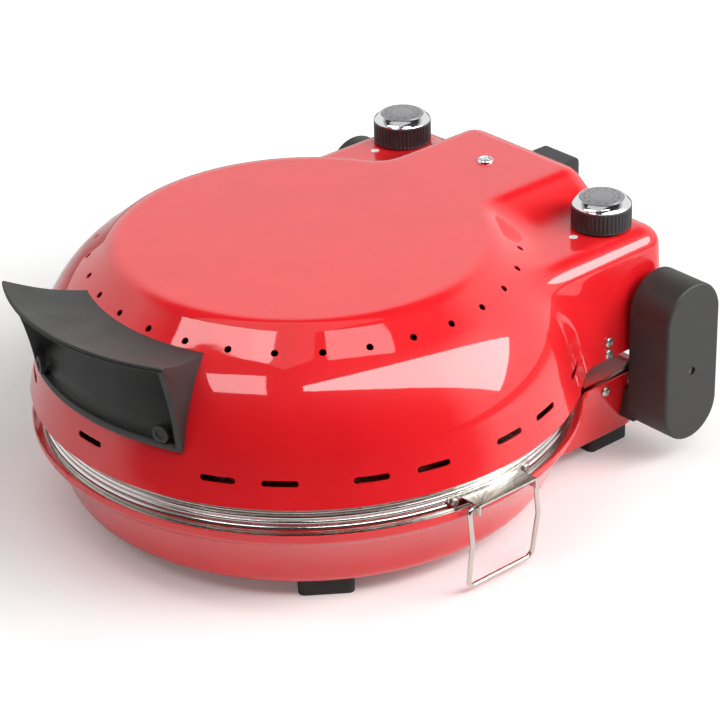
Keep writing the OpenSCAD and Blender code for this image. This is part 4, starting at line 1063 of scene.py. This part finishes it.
SMALL = {"hinge_pin_right": 0.3, "hinge_pin_left": 0.3, "base_hinge_plate_right": 0.25, "base_hinge_plate_left": 0.25,
         "lid_hinge_plate_right": 0.25, "lid_hinge_plate_left": 0.25, "base_rear_cover": 0.2, "lid_back_cover": 0.2,
         "lower_element_clips": 0.2, "upper_element_clips": 0.2, "bail_bracket_right": 0.3, "bail_bracket_left": 0.3,
         "ear_screws": 0.25, "foot_screws": 0.25, "foot_front_left": 0.7, "foot_front_right": 0.7,
         "foot_rear_left": 0.7, "foot_rear_right": 0.7, "rear_rest": 0.8, "rest_screws": 0.25, "cord_gland": 0.5,
         "thermostat": 0.5, "timer": 0.5, "pilot_holder": 0.25, "thermostat_spindle": 0.2, "timer_spindle": 0.2}
for node, edge in SMALL.items():
    softened(node, edge)


# ---- Studio ----

VIEW_AZIMUTH = 48.852
FLOOR_FILL = 0.90
WALL_GLOW, ROOM_GLOW, WALL_DIFFUSE = 0.95, 0.03, 0.35

def direction(azimuth, elevation):
    """A direction from an azimuth, from the front (-Y) towards +X, and an elevation, in degrees."""
    a, e = math.radians(azimuth), math.radians(elevation)
    return np.array([math.sin(a) * math.cos(e), -math.cos(a) * math.cos(e), math.sin(e)])


def floor_grid():
    """A level sheet seen from far around, with its points closer together near the oven: each coordinate runs
    as the cube of an even step."""
    step = np.linspace(-1, 1, 41)
    line = 9 * step ** 3 + 0.4 * step
    x, y = np.meshgrid(line, line)
    points = np.stack([x, y, np.zeros(x.shape)], -1).reshape(-1, 3)
    return object_of("floor", points, grid_quads(41, 41).tolist())


def floor_finish():
    """Pale matt floor. Rays of the camera see the rest of the light it lacks to be white."""
    web = Web("floor")
    grain = web.noise(35.0, 4.0)
    at = web.add("SeparateXYZ", {"Vector": web.place})
    far, angle, _ = web.polar(0.0, AXIS[1])
    tone = web.blend(web.spread(grain, 0.0, 1.0, 0.3, 0.7), (0.86, 0.86, 0.855), (0.84, 0.84, 0.84))
    return web, tone, far, angle


floor = floor_grid()
web, tone, far, angle = floor_finish()
path = web.add("LightPath")
seen = web.math("MAXIMUM", path.outputs["Is Camera Ray"], path.outputs["Is Transmission Ray"])
ahead = web.math("COSINE", web.math("SUBTRACT", angle, math.radians(VIEW_AZIMUTH - 90)))
shade = web.math("MULTIPLY", web.spread(far, 0.0, 1.0, 0.42, 0.62), web.spread(ahead, 0.0, 1.0, 0.28, 0.50))
shade = web.math("MULTIPLY", shade, web.math("SUBTRACT", 1.0, seen))
tone = web.blend(shade, tone, (0.03, 0.03, 0.03))
shader = web.add("BsdfPrincipled", {"Base Color": tone, "Roughness": 0.9, "Specular IOR Level": 0.2})
fill = web.add("Emission", {"Color": (1, 1, 1, 1), "Strength": web.math("MULTIPLY", seen, web.spread(far, 0.12, FLOOR_FILL, 0.24, 0.8))})
both = web.add("AddShader", {0: shader.outputs[0], 1: fill.outputs[0]})
out = web.add("OutputMaterial", {"Surface": both.outputs[0]})
floor.data.materials.append(web.material)

world = bpy.data.worlds.new("studio")
bpy.context.scene.world = world
world.use_nodes = True
web = Web.__new__(Web)
web.tree = world.node_tree
web.tree.nodes.clear()
web.place = web.add("TexCoord").outputs["Generated"]
at = web.add("SeparateXYZ", {"Vector": web.place})
x, y, z = at.outputs
ahead = web.math("SUBTRACT", web.math("MULTIPLY", x, math.sin(math.radians(VIEW_AZIMUTH))),
                 web.math("MULTIPLY", y, math.cos(math.radians(VIEW_AZIMUTH))))
level = web.math("SQRT", web.math("ADD", web.math("MULTIPLY", x, x), web.math("MULTIPLY", y, y)))
turned = web.math("DIVIDE", ahead, web.math("MAXIMUM", level, 0.001))
walls = web.math("MULTIPLY", web.spread(turned, 1.0, 0.0, 0.28, 0.50), web.spread(z, 1.0, 0.0, 0.60, 0.76))
path = web.add("LightPath")
soft = web.spread(path.outputs["Is Diffuse Ray"], 1.0, WALL_DIFFUSE)
glow = web.math("ADD", web.math("MULTIPLY", walls, web.math("MULTIPLY", soft, WALL_GLOW)), ROOM_GLOW)
seen = web.math("MAXIMUM", path.outputs["Is Camera Ray"], path.outputs["Is Transmission Ray"])
strength = web.math("ADD", web.math("MULTIPLY", glow, web.math("SUBTRACT", 1.0, seen)), seen)
web.add("OutputWorld", {"Surface": web.add("Background", {"Color": (1, 1, 1, 1), "Strength": strength}).outputs[0]})


def softbox(name, middle, across, along, radiance):
    """A flat rectangle of light from its middle and its two sides, in metres from the axis at the rim. Its
    power is the radiance times pi times its area."""
    middle, across, along = (np.asarray(v, float) for v in (middle, across, along))
    wide, tall = np.linalg.norm(across), np.linalg.norm(along)
    x, y = across / wide, along / tall
    y = y - x * (x @ y)
    y /= np.linalg.norm(y)
    z = np.cross(x, y)
    if z @ middle < 0:
        y, z = -y, -z
    data = bpy.data.lights.new(name, "AREA")
    data.shape = "RECTANGLE"
    data.size, data.size_y = float(wide), float(tall)
    data.energy = float(radiance * math.pi * wide * tall)
    lamp_object = bpy.data.objects.new(name, data)
    bpy.context.scene.collection.objects.link(lamp_object)
    matrix = np.eye(4)
    matrix[:3, 0], matrix[:3, 1], matrix[:3, 2], matrix[:3, 3] = x, y, z, middle + AXIS
    lamp_object.matrix_world = Matrix(matrix.tolist())
    return lamp_object


softbox("box over the front", (0.205, -1.02, 1.11), (0.49, 0.375, 0), (0.19, -0.385, 0), 5.0)
softbox("box over the left", (-0.20, -0.535, 1.11), (0.74, 0.24, 0), (0.04, -0.13, 0), 5.0)
softbox("box over the right", (0.48, 0.04, 1.11), (0.20, 0.40, 0), (0.07, -0.035, 0), 3.5)
beside = np.array([0.16, 0.01, 0.065])
near_edge = beside + 1.2 * direction(125, -3), beside + 1.2 * direction(148, 16)
run = direction(34, 52)
softbox("strip to the right", sum(near_edge) / 2 + 4.5 * run, near_edge[1] - near_edge[0], 9.0 * run, 8.0)
softbox("box above", (-0.2, -0.1, 2.2), (1.6, 0, 0), (0, 1.6, 0), 0.7)


# ---- Camera ----

def camera():
    """Looks at the oven from the front's right, from above the rim, with a long lens. Its place is a step to
    the right and up from the axis and then back along the line of sight."""
    back = direction(VIEW_AZIMUTH, 28.157)
    right = np.array([math.cos(math.radians(VIEW_AZIMUTH)), math.sin(math.radians(VIEW_AZIMUTH)), 0])
    up = np.cross(back, right)
    roll = math.radians(-1.305)
    x = right * math.cos(roll) + up * math.sin(roll)
    y = up * math.cos(roll) - right * math.sin(roll)
    data = bpy.data.cameras.new("camera")
    data.sensor_width, data.lens = 36.0, 143.157
    data.clip_start, data.clip_end = 0.05, 60.0
    obj = bpy.data.objects.new("camera", data)
    bpy.context.scene.collection.objects.link(obj)
    matrix = np.eye(4)
    matrix[:3, 0], matrix[:3, 1], matrix[:3, 2] = x, y, back
    matrix[:3, 3] = place(right * 33.678 + [0, 0, 22.72] + back * 1823.48)
    obj.matrix_world = Matrix(matrix.tolist())
    bpy.context.scene.camera = obj


camera()
bpy.context.scene.view_settings.view_transform = "Standard"
